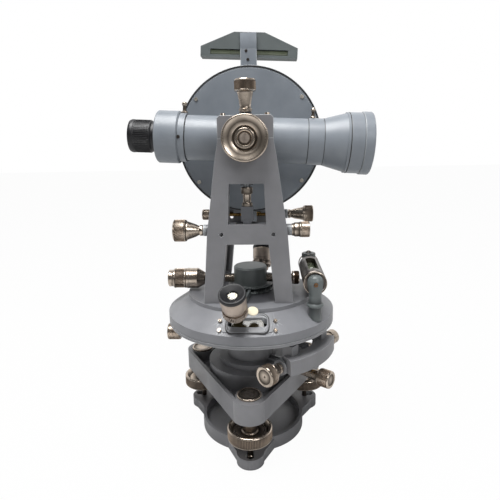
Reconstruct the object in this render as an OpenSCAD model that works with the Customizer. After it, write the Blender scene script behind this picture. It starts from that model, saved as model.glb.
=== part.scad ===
// Transit vernier theodolite with open standards, an optical plummet and five inch circles.
// Frame: +Z up the vertical axis, +X towards the objective, -Y towards the front standard,
// origin on the vertical axis at the underside of the foot plate. All lengths in millimetres.

/* [Base] */
// Radius of the circle through the three foot screws
foot_circle_r = 59; // [57:0.5:62]
// Outer radius of the dish in the foot plate
dish_r = 47; // [45:0.5:49]
// Thickness of the dish's wall
dish_wall = 2.8; // [2:0.2:4]
// Height of the dish's wall
dish_h = 11.4; // [10:0.2:13]
// Thickness of the dish's floor
dish_floor = 3.4; // [2.6:0.2:5]
// Radius of the rounded end of each lobe
lobe_r = 11.5; // [10.5:0.25:13]
// Height of the lobes
lobe_h = 8.8; // [8.4:0.2:10]
// Half width of a lobe where it leaves the dish
lobe_root = 20; // [17:0.5:22]
// Radius of the tripod screw's thread crests
tripod_r = 7; // [6:0.1:9]
// Outer radius of the boss round the tripod thread
tripod_boss_r = 13; // [11:0.5:16]

/* [Foot screws] */
// Radius of the ball that turns in the foot plate
ball_r = 3.1; // [2.6:0.1:3.4]
// Floor under the ball
ball_floor = 1.5; // [1.2:0.1:2.5]
// Radius of the neck above the ball
neck_r = 2.3; // [1.8:0.1:2.5]
// Radius of the knurled wheel
wheel_r = 18.7; // [16:0.1:20]
// Height of the wheel's underside above the table
wheel_z = 22.7; // [21:0.1:25]
// Thickness of the wheel's rim
wheel_h = 10; // [8:0.1:11]
// Depth of the dished top of the wheel
wheel_dish = 4.2; // [2:0.1:6]
// Radius of the threaded stem
stem_r = 5.7; // [5:0.1:6.5]
// Pitch of the levelling thread
foot_pitch = 1; // [0.5:0.05:1.5]
// Length of stem between the wheel and the tribrach
stem_gap = 8.5; // [6:0.1:10]
// Length of stem inside the tribrach
stem_in = 13; // [11:0.5:16]

/* [Tribrach] */
// Height of the tribrach casting
tribrach_h = 18.4; // [16:0.2:21]
// Radius of the tribrach's rounded corners
corner_r = 14.5; // [13:0.25:16]
// Thickness of the tribrach's rim
tribrach_wall = 3; // [2:0.2:4]
// Depth of the recess inside the rim
tribrach_recess = 9; // [6:0.2:11]
// Outer radius of the foot screw bushes
bush_r = 8.8; // [7.6:0.1:9.5]
// Radius of the central turret
turret_r = 39.6; // [36:0.2:41]
// Height of the turret above the rim
turret_h = 6; // [5:0.2:7]
// Radius of the second step of the turret
step_r = 29.7; // [27:0.2:32]
// Height of the second step
step_h = 4.4; // [3:0.2:5]
// Radius of the fixed collar that the lower clamp grips
collar_r = 22; // [20:0.2:24]
// Height of the fixed collar above the second step
collar_h = 24; // [23:0.2:26]
// Radius of the hub under the tribrach
hub_r = 21; // [19.5:0.5:24]
// Length of the hub under the tribrach
hub_drop = 22; // [16:0.5:24]

/* [Spindles] */
// Outer radius of the lower plate's spindle
outer_spindle_r = 16; // [14:0.1:17]
// Outer radius of the upper plate's spindle
inner_spindle_r = 10; // [8:0.1:11]
// Radius of the sight hole through the upper plate's spindle
sight_r = 5; // [4:0.1:6]
// Radial clearance of every turning fit
run_fit = 0.05; // [0.02:0.01:0.09]
// Gap between parts that pass each other
pass_gap = 0.4; // [0.3:0.05:0.6]

/* [Plates] */
// Outer radius of both plates
plate_r = 73.7; // [73:0.1:76]
// Radius of the drum under the lower plate
drum_r = 46; // [42:0.5:48]
// Height of the drum
drum_h = 7.2; // [6:0.2:8]
// Thickness of the lower plate over the drum
lower_plate_t = 6.6; // [6:0.1:8]
// Height of the lower plate's rim
lower_rim_h = 2.6; // [2:0.1:4]
// Height of the vernier plate's rim
upper_rim_h = 7.3; // [6:0.1:9]
// Distance from the plates' edge to the raised platform's edge
platform_inset = 18.2; // [17.8:0.1:19]
// Height of the platform above the vernier plate's rim
platform_rise = 15.3; // [14:0.1:17]
// Step at the platform's edge
platform_step = 3.2; // [2:0.1:4]
// Wall of the vernier plate
plate_wall = 3; // [2.4:0.1:4]
// Distance from the plates' edge to the graduated edge of the horizontal circle
circle_inset = 10.2; // [9:0.1:11.5]
// Radial width of the horizontal circle
circle_w = 13; // [8:0.5:16]
// Height of the horizontal circle
circle_h = 5.4; // [4:0.1:6]
// Half width of the window in the vernier plate
window_half = 15.7; // [12:0.1:18]
// Radial width of the window
window_w = 7.2; // [5:0.1:8]
// Half width of the window's frame
frame_half = 19; // [17.5:0.1:20]
// Radial width of the window's frame
frame_w = 13.6; // [12:0.1:14.4]
// Height that the frame stands above the cone
frame_t = 1; // [0.6:0.1:1.6]

/* [Lower clamp] */
// Direction of the lower tangent tail, degrees from +X
lower_az = -39; // [-42:1:-36]
// Radius of the lower clamp screw's head
lower_head_r = 7.6; // [6:0.1:8]
// Radius of the tribrach lock screw's head
lock_head_r = 7.6; // [6:0.1:7.7]
// Direction of the tribrach lock screw, degrees from +X
lock_az = -36; // [-40:1:-32]
// Direction of the lower clamp screw, degrees from +X
lower_screw_az = 180; // [175:1:190]
// Radius of the clamp rings
ring_r = 30; // [28:0.5:32]
// Thickness of the clamp rings
ring_h = 6.8; // [6:0.1:7.5]
// Distance of the lower tangent screw's axis inside the plates' edge
lower_inset = 16.7; // [15.7:0.1:18.5]
// Depth of the lower tangent screw's axis below the clamp ring's middle
lower_drop = 5.6; // [5:0.1:6]
// Radial width of the crescent bracket
crescent_w = 12.1; // [10:0.1:13.5]
// Height of the crescent bracket
crescent_h = 12.4; // [11:0.1:13]
// Half angle of the crescent bracket
crescent_half = 25; // [24:0.5:27]

/* [Tangent screws] */
// Pitch of every tangent screw
tangent_pitch = 0.5; // [0.3:0.05:0.8]
// Radius of the spindles and plungers that push the tails
pin_r = 2.1; // [1.8:0.1:2.2]
// Half width of the tails between the pins
tail_half = 3.2; // [2.8:0.1:4]
// Radius of the lower tangent screw's head
lower_knob_r = 8.6; // [7:0.1:9]
// Radius of the clip screw's head
clip_knob_r = 8.4; // [7:0.1:8.8]
// Radius of the vertical tangent screw's head
vertical_knob_r = 9.2; // [8:0.1:9.4]
// Radius of the spring boxes
spring_box_r = 6.5; // [5.5:0.1:7]

/* [Upper clamp] */
// Direction of the upper tangent tail, degrees from +X
upper_az = 122; // [112:1:128]
// Distance of the upper tangent screw's axis outside the plates' edge
upper_offset = 7.3; // [6.8:0.1:9]
// Radius of the upper tangent screw's head
upper_knob_r = 7; // [6:0.1:7.5]

/* [Standards] */
// Height of the trunnion axis above the platform
trunnion_rise = 132; // [128:0.5:136]
// Distance of the front standard's outer face in front of the axis
front_face = 41.1; // [41:0.1:43]
// Distance of the rear standard's outer face behind the axis
rear_face = 59.4; // [59.2:0.1:61]
// Depth of the standards' channels
standard_d = 13; // [12.5:0.1:13.3]
// Wall of the standards
standard_wall = 2.7; // [2:0.1:3]
// Half width of a standard at its foot
foot_half = 36.5; // [35:0.5:37]
// Half width of a standard at its crossbar
mid_half = 32.2; // [31.5:0.1:33]
// Half width of a standard at its bearing
top_half = 21.6; // [21:0.1:23]
// Thickness of the bearings
bearing_t = 6; // [5:0.1:6.4]
// Height of the bearing caps above the trunnion axis
cap_h = 17.4; // [15:0.2:19]
// Radius of the trunnion journals
journal_r = 7; // [6:0.1:8]

/* [Vertical clamp] */
// Distance of the vertical clamp's middle plane in front of the axis
clamp_y = 31.2; // [31:0.1:31.4]
// Radius of the vertical clamp's ring
vertical_ring_r = 15; // [14:0.5:16]
// Thickness of the vertical clamp's ring
vertical_ring_t = 6.6; // [5.6:0.1:6.8]
// Distance of the vertical tangent screw's axis below the trunnion axis
tangent_drop = 71.8; // [70:0.2:73]
// Distance of the vertical tangent screw's axis in front of the vertical axis
tangent_y = 35.9; // [35.8:0.1:36.2]
// Height of the clamp screw's top above the trunnion axis
clamp_top = 44.6; // [43:0.2:48]
// Radius of the clamp screw's head
clamp_head_r = 8.6; // [8:0.1:9]

/* [Telescope] */
// Rest tilt of the telescope, objective down
telescope_tilt = 3; // [0:0.5:6]
// Length from the trunnion axis to the objective's rim
objective_len = 102.5; // [100:0.5:106]
// Length from the trunnion axis to the eyepiece's end
eyepiece_len = 100.7; // [98:0.5:104]
// Radius of the main tube
tube_r = 18.9; // [18:0.1:19.3]
// Wall of the main tube
tube_wall = 2; // [1.5:0.1:2.4]
// Radius of the collar behind the tube
tel_collar_r = 22; // [20.5:0.1:22.5]
// Radius of the objective ring's rim
objective_r = 26; // [25:0.1:26.1]
// Clear radius of the objective lens
lens_r = 20; // [19:0.1:21]
// Radius of the black eyepiece ring
eyepiece_r = 14.1; // [13:0.1:15]
// Radius of the focusing knob
focus_knob_r = 18.1; // [17:0.1:19]
// Thickness of the focusing knob
focus_knob_t = 10.8; // [9.5:0.1:12]
// Travel of the focusing lens each way
focus_travel = 12; // [8:1:14]

/* [Vertical circle] */
// Radius of the circle's cover
cover_r = 65.7; // [65.2:0.1:67]
// Distance of the cover's front behind the vertical axis
cover_y = 28.4; // [28.2:0.1:28.8]
// Depth of the cover
cover_d = 12.8; // [12.4:0.1:13]
// Wall of the cover
cover_wall = 1.8; // [1.4:0.1:2]
// Radius of the vertical circle
vertical_circle_r = 58; // [55:0.5:59]
// Thickness of the index frame
index_t = 3.6; // [3:0.1:3.8]
// Half width of the index frame's post
post_half = 7.5; // [6:0.1:9]

/* [Altitude level] */
// Height of the level case's middle above the trunnion axis
level_rise = 84; // [81:0.5:87]
// Length of the level case
level_len = 89.4; // [80:0.2:94]
// Height of the case at its ends
level_end_h = 9; // [8.4:0.2:11]
// Height of the case at its crown
level_crown_h = 22; // [18:0.5:24]
// Half width of the crown
level_crown_half = 14; // [10:0.5:18]
// Depth of the case from front to back
level_d = 13; // [12:0.2:15]
// Rest tilt of the case on its pivot screw
level_tilt = 3; // [0:0.5:4]
// Radius of the altitude vial
altitude_vial_r = 3; // [2.6:0.1:3.2]

/* [Plate level] */
// Distance of the plate level's axis inside the plates' edge
plate_level_inset = 19.7; // [18.8:0.1:20.2]
// Height of the plate level's axis above the platform
plate_level_rise = 17; // [16:0.2:18]
// Radius of the plate level's tube
plate_level_r = 9.5; // [8.8:0.1:9.8]
// Radius of the plate level's vial
plate_vial_r = 5; // [4:0.1:6]

/* [Plummet] */
// Radius of the central boss
boss_r = 14.8; // [13.5:0.1:15.5]
// Height of the boss above the platform
boss_h = 21.8; // [20:0.2:23]
// Height of the plummet's axis above the platform
plummet_rise = 10; // [9.6:0.1:11]
// Radius of the plummet's eyepiece
plummet_r = 9; // [8:0.1:9.2]
// Distance of the plummet eyepiece's end from the axis
plummet_len = 74; // [72:0.5:78]
// Radius of the plummet's tube
plummet_tube_r = 3.6; // [3:0.1:4]

/* [Magnifiers] */
// Rest turn of the magnifier carrier about the vertical axis
magnifier_turn = -7; // [-10:0.5:0]
// Outward lean of the magnifiers from the vertical
magnifier_lean = 30; // [26:1:34]
// Radius of the black eye cups
cup_r = 10.5; // [9.5:0.1:11]
// Distance from the window to the magnifier's lower end
magnifier_gap = 9; // [8:0.2:10]
// Length of a magnifier with its cup
magnifier_len = 26; // [24:0.5:28]

/* [Hidden] */
$fn = 72;

// Heights of the stack, from the table upwards
foot_dirs = [-90, 30, 150];
foot_lift = 2 * foot_pitch;
foot_thread_r = stem_r - 1.2;
neck_gap = 0.4;
ball_z = ball_floor + ball_r + run_fit;
wheel_top = wheel_z + wheel_h;
tribrach_z = wheel_top + stem_gap;
tribrach_top = tribrach_z + tribrach_h;
recess_z = tribrach_top - tribrach_recess;
turret_z = tribrach_top + turret_h;
step_z = turret_z + step_h;
collar_top = step_z + collar_h;
hub_z = tribrach_z - hub_drop;
drum_z = collar_top + pass_gap;
lower_z = drum_z + drum_h;
lower_top = lower_z + lower_plate_t;
upper_z = lower_top + pass_gap;
rim_top = upper_z + upper_rim_h;
platform_z = rim_top + platform_rise;
cone_top = platform_z - platform_step;
trunnion_z = platform_z + trunnion_rise;
circle_top = lower_top + circle_h;

// Radii and offsets that follow the plates' edge
platform_r = plate_r - platform_inset;
circle_r = plate_r - circle_inset;
flat_r = circle_r + 0.5;
crescent_in = circle_r;
crescent_out = crescent_in + crescent_w;
lower_chord = plate_r - lower_inset;
upper_chord = plate_r + upper_offset;
plate_level_x = plate_r - plate_level_inset;

// Clamp and tangent screws
shaft_r = 2.6;
clamp_z = collar_top - ring_h / 2 - 0.8;
lower_tangent_z = clamp_z - lower_drop;
lock_z = step_z - 2.4;
pin_end = 44;
tangent_travel = 4 * tangent_pitch;
pin_bore_end = pin_end + tangent_travel + 1.5;
bush_in = 23.6;
bush_out = 31;
lower_knob_rim = 42;
lower_knob_end = 50.4;
vertical_knob_rim = 49.1;
vertical_knob_end = 59.4;
clip_knob_rim = 51.3;
clip_knob_end = 60.6;
spring_box_end = 49.8;
upper_tangent_z = lower_top - 2.6;
set_z = trunnion_z - tangent_drop;
clip_y = rear_face - front_face + tangent_y;
boss_out = 35.5;

// Outline of the standards, as heights above the platform
shoulder_h = trunnion_rise - 14;
waist_h = 57;
bar_low = 49.1;
bar_high = 65.3;
upper_window_top = 97.4;
upper_window_half = 13.7;
lower_window_half = 16.9;
foot_window_half = 22;
seat_r = 9;
hub_front = clamp_y - vertical_ring_t / 2 - pass_gap;
hub_rear = cover_y - pass_gap - 0.1;
plate_z = trunnion_z + level_rise - level_end_h;
cup_t = magnifier_gap + magnifier_len - 9;

grey = [0.55, 0.61, 0.64];
dark_grey = [0.40, 0.44, 0.46];
green_grey = [0.50, 0.56, 0.53];
nickel = [0.80, 0.79, 0.76];
steel = [0.66, 0.67, 0.68];
brass = [0.80, 0.66, 0.36];
black = [0.10, 0.10, 0.11];
glass = [0.75, 0.85, 0.88];

function cone_z(r) = rim_top + (plate_r - r) * (cone_top - rim_top) / (plate_r - platform_r);
cone_angle = atan((cone_top - rim_top) / (plate_r - platform_r));

module turned(points) rotate_extrude() polygon(points);
module along_x() rotate([0, 90, 0]) children();
module along_y() rotate([-90, 0, 0]) children();
module tube(r, bore, h) {
  turned([[bore, 0], [r, 0], [r, h], [bore, h]]);
}
// Turned head with chamfered edges
module head(r, h, edge = 0.8) {
  turned([[0, 0], [r - edge, 0], [r, edge], [r, h - edge], [r - edge, h], [0, h]]);
}
// Sector of a ring, centred on the +X direction
module sector(inner, outer, h, half) {
  rotate(-half) rotate_extrude(angle = 2 * half) translate([inner, 0]) square([outer - inner, h]);
}
// Block that spans x, y and z ranges
module block(x, y, z) {
  translate([x[0], y[0], z[0]]) cube([x[1] - x[0], y[1] - y[0], z[1] - z[0]]);
}
module at_feet() for (a = foot_dirs) rotate(a) translate([foot_circle_r, 0]) children();

// Foot plate: a walled dish with three lobes, each with a keyhole for a foot screw's ball
key_x = 5.6;
key_r = ball_r + 0.6;
module lobe_outline() {
  root_x = sqrt(dish_r * dish_r - lobe_root * lobe_root);
  translate([foot_circle_r, 0]) circle(lobe_r);
  polygon([[root_x, -lobe_root], [foot_circle_r, -lobe_r],
    [foot_circle_r, lobe_r], [root_x, lobe_root]]);
}
module base_casting() {
  color(grey) difference() {
    union() {
      cylinder(r = dish_r, h = dish_h);
      for (a = foot_dirs) rotate(a) linear_extrude(lobe_h) lobe_outline();
    }
    translate([0, 0, dish_floor]) tube(dish_r - dish_wall, tripod_boss_r, dish_h);
    translate([0, 0, -1]) cylinder(r = tripod_r, h = dish_h + 2);
    for (a = foot_dirs) rotate(a) translate([foot_circle_r, 0, 0]) {
      translate([0, 0, ball_z]) sphere(ball_r + run_fit);
      translate([0, 0, ball_z]) cylinder(r = neck_r + neck_gap, h = lobe_h);
      translate([0, 0, ball_z]) along_x() cylinder(r = ball_r + run_fit, h = key_x);
      block([0, key_x], [-neck_r - neck_gap, neck_r + neck_gap], [ball_z, lobe_h + 1]);
      translate([key_x, 0, ball_floor]) cylinder(r = key_r, h = lobe_h);
    }
  }
}

// Foot screw: ball, neck, dished wheel, stem and thread, turned in one piece
hub_low = 14.7;
module foot_screw(a) {
  floor_z = wheel_top - wheel_dish;
  shoulder = tribrach_z - foot_lift - pass_gap;
  rotate(a) translate([foot_circle_r, 0, 0]) {
    color(nickel) translate([0, 0, ball_z]) sphere(ball_r);
    color(nickel) turned([[0, ball_z], [neck_r, ball_z], [neck_r, hub_low],
      [5.2, hub_low + 0.6], [7.2, hub_low + 2.2], [7.2, wheel_z], [wheel_r - 1, wheel_z],
      [wheel_r, wheel_z + 1], [wheel_r, wheel_top - 1], [wheel_r - 1, wheel_top],
      [wheel_r - 2.4, wheel_top], [wheel_r - 4, floor_z], [stem_r, floor_z],
      [stem_r, shoulder], [foot_thread_r, shoulder],
      [foot_thread_r, tribrach_z + stem_in - 0.8],
      [foot_thread_r - 0.8, tribrach_z + stem_in], [0, tribrach_z + stem_in]]);
  }
}
module foot_screw_front() foot_screw(foot_dirs[0]);
module foot_screw_right() foot_screw(foot_dirs[1]);
module foot_screw_left() foot_screw(foot_dirs[2]);

// Tribrach: a dished rounded triangle with a turret, a fixed collar and a bearing hub
corner_boss_r = bush_r + 2.6;
module tribrach_outline(r) {
  for (a = foot_dirs) rotate(a) translate([foot_circle_r, 0]) circle(r);
  polygon([for (a = foot_dirs) for (side = [-60, 60])
    [foot_circle_r * cos(a) + r * cos(a + side), foot_circle_r * sin(a) + r * sin(a + side)]]);
}
module tribrach_pocket(core) {
  difference() {
    tribrach_outline(corner_r - tribrach_wall);
    circle(core);
    for (a = foot_dirs) rotate(a) translate([foot_circle_r, 0]) circle(corner_boss_r);
  }
}
module tribrach() {
  color(grey) difference() {
    union() {
      translate([0, 0, tribrach_z]) linear_extrude(tribrach_h)
        tribrach_outline(corner_r);
      turned([[0, hub_z], [hub_r, hub_z], [hub_r, tribrach_z], [turret_r, tribrach_z + 5],
        [turret_r, turret_z], [step_r, turret_z], [step_r, step_z], [collar_r, step_z],
        [collar_r, collar_top], [0, collar_top]]);
      rotate(lock_az) translate([step_r - 8, 0, lock_z]) along_x()
        cylinder(r = 5.2, h = turret_r - step_r + 8.2);
    }
    translate([0, 0, recess_z]) linear_extrude(tribrach_recess + 1)
      tribrach_pocket(turret_r);
    translate([0, 0, tribrach_z - 1]) linear_extrude(7) tribrach_pocket(hub_r + 3);
    at_feet() translate([0, 0, tribrach_z - 1]) cylinder(r = bush_r, h = tribrach_h + 2);
    translate([0, 0, hub_z - 1])
      cylinder(r = outer_spindle_r + run_fit, h = collar_top - hub_z + 2);
    rotate(lock_az) translate([outer_spindle_r, 0, lock_z]) along_x()
      cylinder(r = shaft_r + run_fit, h = 30);
  }
}

// Threaded bushes with a counterbored top, pressed into the tribrach's corners
module foot_screw_bushes() {
  top = tribrach_top - 0.4;
  seat = tribrach_z + stem_in + foot_lift - 1;
  color(nickel) at_feet() turned([[foot_thread_r + run_fit, tribrach_z + 0.6],
    [bush_r, tribrach_z + 0.6], [bush_r, top], [6.8, top], [6.8, seat],
    [foot_thread_r + run_fit, seat]]);
}

// Radial screw with a knurled head that locks the centre in the tribrach
lock_reach = 82.8;
lock_head_t = 10.8;
module tribrach_lock_screw() {
  base = turret_r + 0.5;
  cone = lock_reach - lock_head_t - base + 0.5;
  color(nickel) rotate(lock_az) translate([0, 0, lock_z]) along_x() {
    translate([0, 0, outer_spindle_r + 0.5]) cylinder(r = shaft_r, h = base - outer_spindle_r + 3.9);
    translate([0, 0, base])
      turned([[0, 0], [4.4, 0], [4.4, 7], [3, 9], [4.6, cone], [0, cone]]);
    translate([0, 0, lock_reach - lock_head_t]) head(lock_head_r, lock_head_t);
  }
}

// Hollow spindle of the lower plate with its retaining ring
retainer_h = 3.4;
retainer_z = hub_z - pass_gap - retainer_h;
module outer_spindle() {
  color(steel) turned([[inner_spindle_r + run_fit, retainer_z + 3.4],
    [13.1, retainer_z + 3.4], [13.1, retainer_z], [20, retainer_z],
    [20, retainer_z + retainer_h], [outer_spindle_r, retainer_z + retainer_h],
    [outer_spindle_r, lower_z], [inner_spindle_r + run_fit, lower_z]]);
}

// Lower plate with the drum under it
module lower_plate() {
  color(grey) turned([[outer_spindle_r, drum_z], [drum_r, drum_z], [drum_r, lower_z],
    [flat_r, lower_z], [plate_r, lower_top - lower_rim_h], [plate_r, lower_top],
    [inner_spindle_r + 0.6, lower_top], [inner_spindle_r + 0.6, lower_z],
    [outer_spindle_r, lower_z]]);
}
module horizontal_circle() {
  color(nickel) translate([0, 0, lower_top]) tube(circle_r, circle_r - circle_w, circle_h);
}

// Crescent under the lower plate that carries the lower tangent screw
module in_lower_set() rotate(lower_az) translate([lower_chord, 0, lower_tangent_z]) children();
module lower_tangent_bracket() {
  low = lower_tangent_z - 3.1;
  top = low + crescent_h;
  leg_y = 21;
  color(grey) difference() {
    union() {
      rotate(lower_az) translate([0, 0, low])
        sector(crescent_in, crescent_out, crescent_h, crescent_half);
      rotate(lower_az) for (side = [-1, 1])
        block([lower_chord - 2, flat_r + 1], [side * leg_y - 4, side * leg_y + 4], [top - 3, lower_z]);
      for (side = [-1, 1]) in_lower_set() translate([0, side * (bush_in + bush_out) / 2, 0])
        along_y() cylinder(r = 6.2, h = bush_out - bush_in, center = true);
    }
    in_lower_set() along_y() cylinder(r = pin_r + run_fit, h = 80, center = true);
    in_lower_set() block([-8, 2.8], [-bush_in, bush_in], [-9, 4]);
  }
}

// Closed barrel that holds the spring and its plunger
module spring_box(r, from, to) {
  color(nickel) turned([[pin_r + run_fit, from], [r - 0.8, from], [r - 0.8, to - 8],
    [r, to - 7.4], [r, to - 0.8], [r - 0.8, to], [0, to], [0, pin_bore_end],
    [pin_r + run_fit, pin_bore_end]]);
}
module lower_spring_box() {
  in_lower_set() along_y() spring_box(spring_box_r, bush_out, spring_box_end);
}

// Clamp ring round the fixed collar, with a tail that the tangent pins hold
module lower_clamp_arm() {
  color(dark_grey) difference() {
    union() {
      translate([0, 0, clamp_z - ring_h / 2]) cylinder(r = ring_r, h = ring_h);
      rotate(lower_az) block([ring_r - 4, lower_chord + 3], [-5.2, 5.2],
        [clamp_z - ring_h / 2 + 1.4, clamp_z + ring_h / 2]);
      rotate(lower_az) block([lower_chord - 3, lower_chord + 3], [-tail_half, tail_half],
        [lower_tangent_z - 5, clamp_z + ring_h / 2]);
      rotate(lower_screw_az)
        block([ring_r - 4, ring_r + 8], [-6, 6], [clamp_z - ring_h / 2, clamp_z + ring_h / 2]);
    }
    translate([0, 0, clamp_z - 20]) cylinder(r = collar_r + run_fit, h = 40);
    rotate(lower_screw_az) translate([collar_r - 2, 0, clamp_z]) along_x()
      cylinder(r = shaft_r + run_fit, h = 30);
  }
}

// Radial screw of the lower clamp, with a coned sleeve and a knurled head
lower_screw_reach = 77.4;
lower_screw_head_t = 11.7;
module lower_clamp_screw() {
  base = ring_r + 8.4;
  cone = lower_screw_reach - lower_screw_head_t - base + 0.3;
  color(nickel) rotate(lower_screw_az) translate([0, 0, clamp_z]) along_x() {
    translate([0, 0, collar_r + 0.4]) cylinder(r = shaft_r, h = base + cone - collar_r - 4);
    translate([0, 0, base])
      turned([[0, 0], [4.2, 0], [4.2, 6], [3.2, 8], [5, cone], [0, cone]]);
    translate([0, 0, lower_screw_reach - lower_screw_head_t])
      head(lower_head_r, lower_screw_head_t);
  }
}

// Head of a tangent screw: a coned sleeve and a knurled rim round the spindle
module tangent_knob(r, from, rim, to) {
  color(nickel) turned([[pin_r + run_fit, from], [4.4, from], [r - 2.2, rim - 2],
    [r - 2.2, rim], [r - 0.8, rim], [r, rim + 0.8], [r, to - 0.8], [r - 0.8, to],
    [0, to], [0, pin_bore_end], [pin_r + run_fit, pin_bore_end]]);
}
// Spindle and plunger that hold a tail between their domed ends
module tangent_pins(half) {
  for (side = [0, 180]) color(brass) rotate([0, side, 0])
    turned([[0, half + 0.3], [pin_r - 0.9, half + 0.3], [pin_r, half + 0.9],
      [pin_r, pin_end], [0, pin_end]]);
}
module lower_tangent_knob() {
  in_lower_set() rotate([90, 0, 0]) 
    tangent_knob(lower_knob_r, bush_out + 0.4, lower_knob_rim, lower_knob_end);
}
module lower_tangent_pins() in_lower_set() along_y() tangent_pins(tail_half);

// Hollow spindle of the upper plate
module inner_spindle() {
  color(steel) turned([[sight_r, retainer_z + 0.3], [12.6, retainer_z + 0.3],
    [12.6, retainer_z + 3], [inner_spindle_r, retainer_z + 3],
    [inner_spindle_r, platform_z - 1], [sight_r, platform_z - 1]]);
}

// Vernier plate: a shell with a coned top, a raised platform and two windows
boss_in = inner_spindle_r + 6;
module plate_cavity() {
  drop = plate_wall * 1.2;
  turned([[boss_in, upper_z - 1], [plate_r - plate_wall, upper_z - 1],
    [plate_r - plate_wall, cone_z(plate_r - plate_wall) - drop],
    [platform_r - plate_wall, cone_z(platform_r - plate_wall) - drop],
    [platform_r - plate_wall, platform_z - plate_wall], [boss_in, platform_z - plate_wall]]);
}
module window_slot() {
  r = window_w / 2;
  for (a = [0, 180]) rotate(a) translate([0, 0, rim_top - 6]) linear_extrude(platform_rise + 12) {
    intersection() {
      difference() {
        circle(circle_r + r);
        circle(circle_r - r);
      }
      translate([-window_half + r, -plate_r]) square([2 * (window_half - r), plate_r]);
    }
    for (side = [-1, 1]) {
      x = side * (window_half - r);
      translate([x, -sqrt(circle_r * circle_r - x * x)]) circle(r);
    }
  }
}
window_screw_x = 21.4;
window_screw_y = [circle_r - 4.1, circle_r + 3.5];
module at_window_screws() {
  for (a = [0, 180]) rotate(a) for (x = [-window_screw_x, window_screw_x]) for (y = window_screw_y) {
    r = sqrt(x * x + y * y);
    turn = atan2(-y, x);
    rotate(turn) translate([r, 0, cone_z(r)]) rotate([0, cone_angle, 0]) children();
  }
}
// Two pads behind the platform that carry the rear standard's feet
module rear_pad() {
  for (side = [0, 1]) mirror([side, 0, 0])
    block([24, foot_half + 0.5], [42, rear_face + 0.2], [rim_top, platform_z]);
}
module vernier_plate() {
  color(grey) difference() {
    union() {
      turned([[inner_spindle_r, upper_z], [plate_r, upper_z], [plate_r, rim_top],
        [platform_r, cone_top], [platform_r, platform_z], [inner_spindle_r, platform_z]]);
      rear_pad();
    }
    plate_cavity();
    translate([0, 0, upper_z - 1]) tube(boss_in + 1, inner_spindle_r - 1, pass_gap + 1);
    window_slot();
    at_window_screws() translate([0, 0, -1]) cylinder(r = 1.7, h = 3);
  }
}
frame_mid = circle_r + 1;
module window_frames() {
  inner = frame_mid - frame_w / 2;
  outer = frame_mid + frame_w / 2;
  color(green_grey) difference() {
    intersection() {
      turned([[inner, cone_z(inner)], [outer, cone_z(outer)],
        [outer, cone_z(outer) + frame_t], [inner, cone_z(inner) + frame_t]]);
      block([-frame_half, frame_half], [-plate_r, plate_r], [rim_top - 5, platform_z + 5]);
    }
    window_slot();
    block([-plate_r, plate_r], [-platform_r + 10, platform_r - 10], [rim_top - 6, platform_z + 6]);
  }
}
module plate_verniers() {
  color(nickel) for (a = [-90, 90]) rotate(a) {
    translate([0, 0, circle_top - 2]) sector(circle_r + 0.3, plate_r - plate_wall - 1, 2, 13);
    intersection() {
      for (side = [-10, 10]) rotate(side) translate([circle_r + 5, 0, circle_top])
        cylinder(r = 1.5, h = 12);
      plate_cavity();
    }
  }
}
module alidade_screws() {
  color(nickel) at_window_screws() translate([0, 0, -1])
    turned([[0, 0], [1.7, 0], [1.7, 1.6], [1.3, 2], [0, 2]]);
  color(nickel) for (y = [-front_face + bearing_t / 2, rear_face - bearing_t / 2])
    for (x = [-cap_screw_x, cap_screw_x]) translate([x, y, trunnion_z + cap_h]) head(2.1, 1.6, 0.4);
}

// Central boss with the optical plummet's tube, and its knurled eyepiece
plummet_z = platform_z + plummet_rise;
ring_seat_r = boss_r + 0.6;
spigot_r = 4.8;
spigot_end = plummet_len - 10;
shoulder_end = spigot_end - 6.6;
cone_end = shoulder_end - 10.1;
plug_end = plate_level_x - plate_level_r - 0.7;
module plummet_housing() {
  color(green_grey) difference() {
    union() {
      translate([0, 0, platform_z])
        turned([[0, 0], [ring_seat_r, 0], [ring_seat_r, 5.3], [boss_r, 5.9],
          [boss_r, boss_h - 1.2], [boss_r - 1.2, boss_h], [0, boss_h]]);
      translate([0, 0, plummet_z]) rotate([0, -90, 0])
        turned([[0, 10], [plummet_tube_r, 10], [plummet_tube_r, cone_end - 6.7],
          [5.4, cone_end - 5.9], [plummet_r, cone_end], [plummet_r, shoulder_end],
          [spigot_r, shoulder_end], [spigot_r, spigot_end], [0, spigot_end]]);
      translate([0, 0, plummet_z]) along_x()
        turned([[0, 10], [plummet_tube_r, 10], [plummet_tube_r, plug_end - 6.4],
          [5.6, plug_end - 6.4], [5.9, plug_end - 5.6], [5.9, plug_end - 0.8],
          [5.1, plug_end], [0, plug_end]]);
    }
    translate([0, 0, platform_z - 1]) cylinder(r = sight_r, h = plummet_rise + 4.4);
    translate([0, 0, plummet_z]) rotate([0, -90, 0]) cylinder(r = 2.4, h = plummet_len + 6);
  }
}
module plummet_eyepiece() {
  low = shoulder_end + 0.4;
  step = spigot_end + 5.3;
  color(nickel) translate([0, 0, plummet_z]) rotate([0, -90, 0])
    turned([[spigot_r + run_fit, low], [plummet_r - 0.6, low], [plummet_r, low + 0.6],
      [plummet_r, step - 0.7], [plummet_r - 0.6, step], [7.6, step], [7.6, plummet_len],
      [4.4, plummet_len], [3.6, plummet_len - 3], [3.6, spigot_end + 2],
      [spigot_r + run_fit, spigot_end + 2]]);
}

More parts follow.
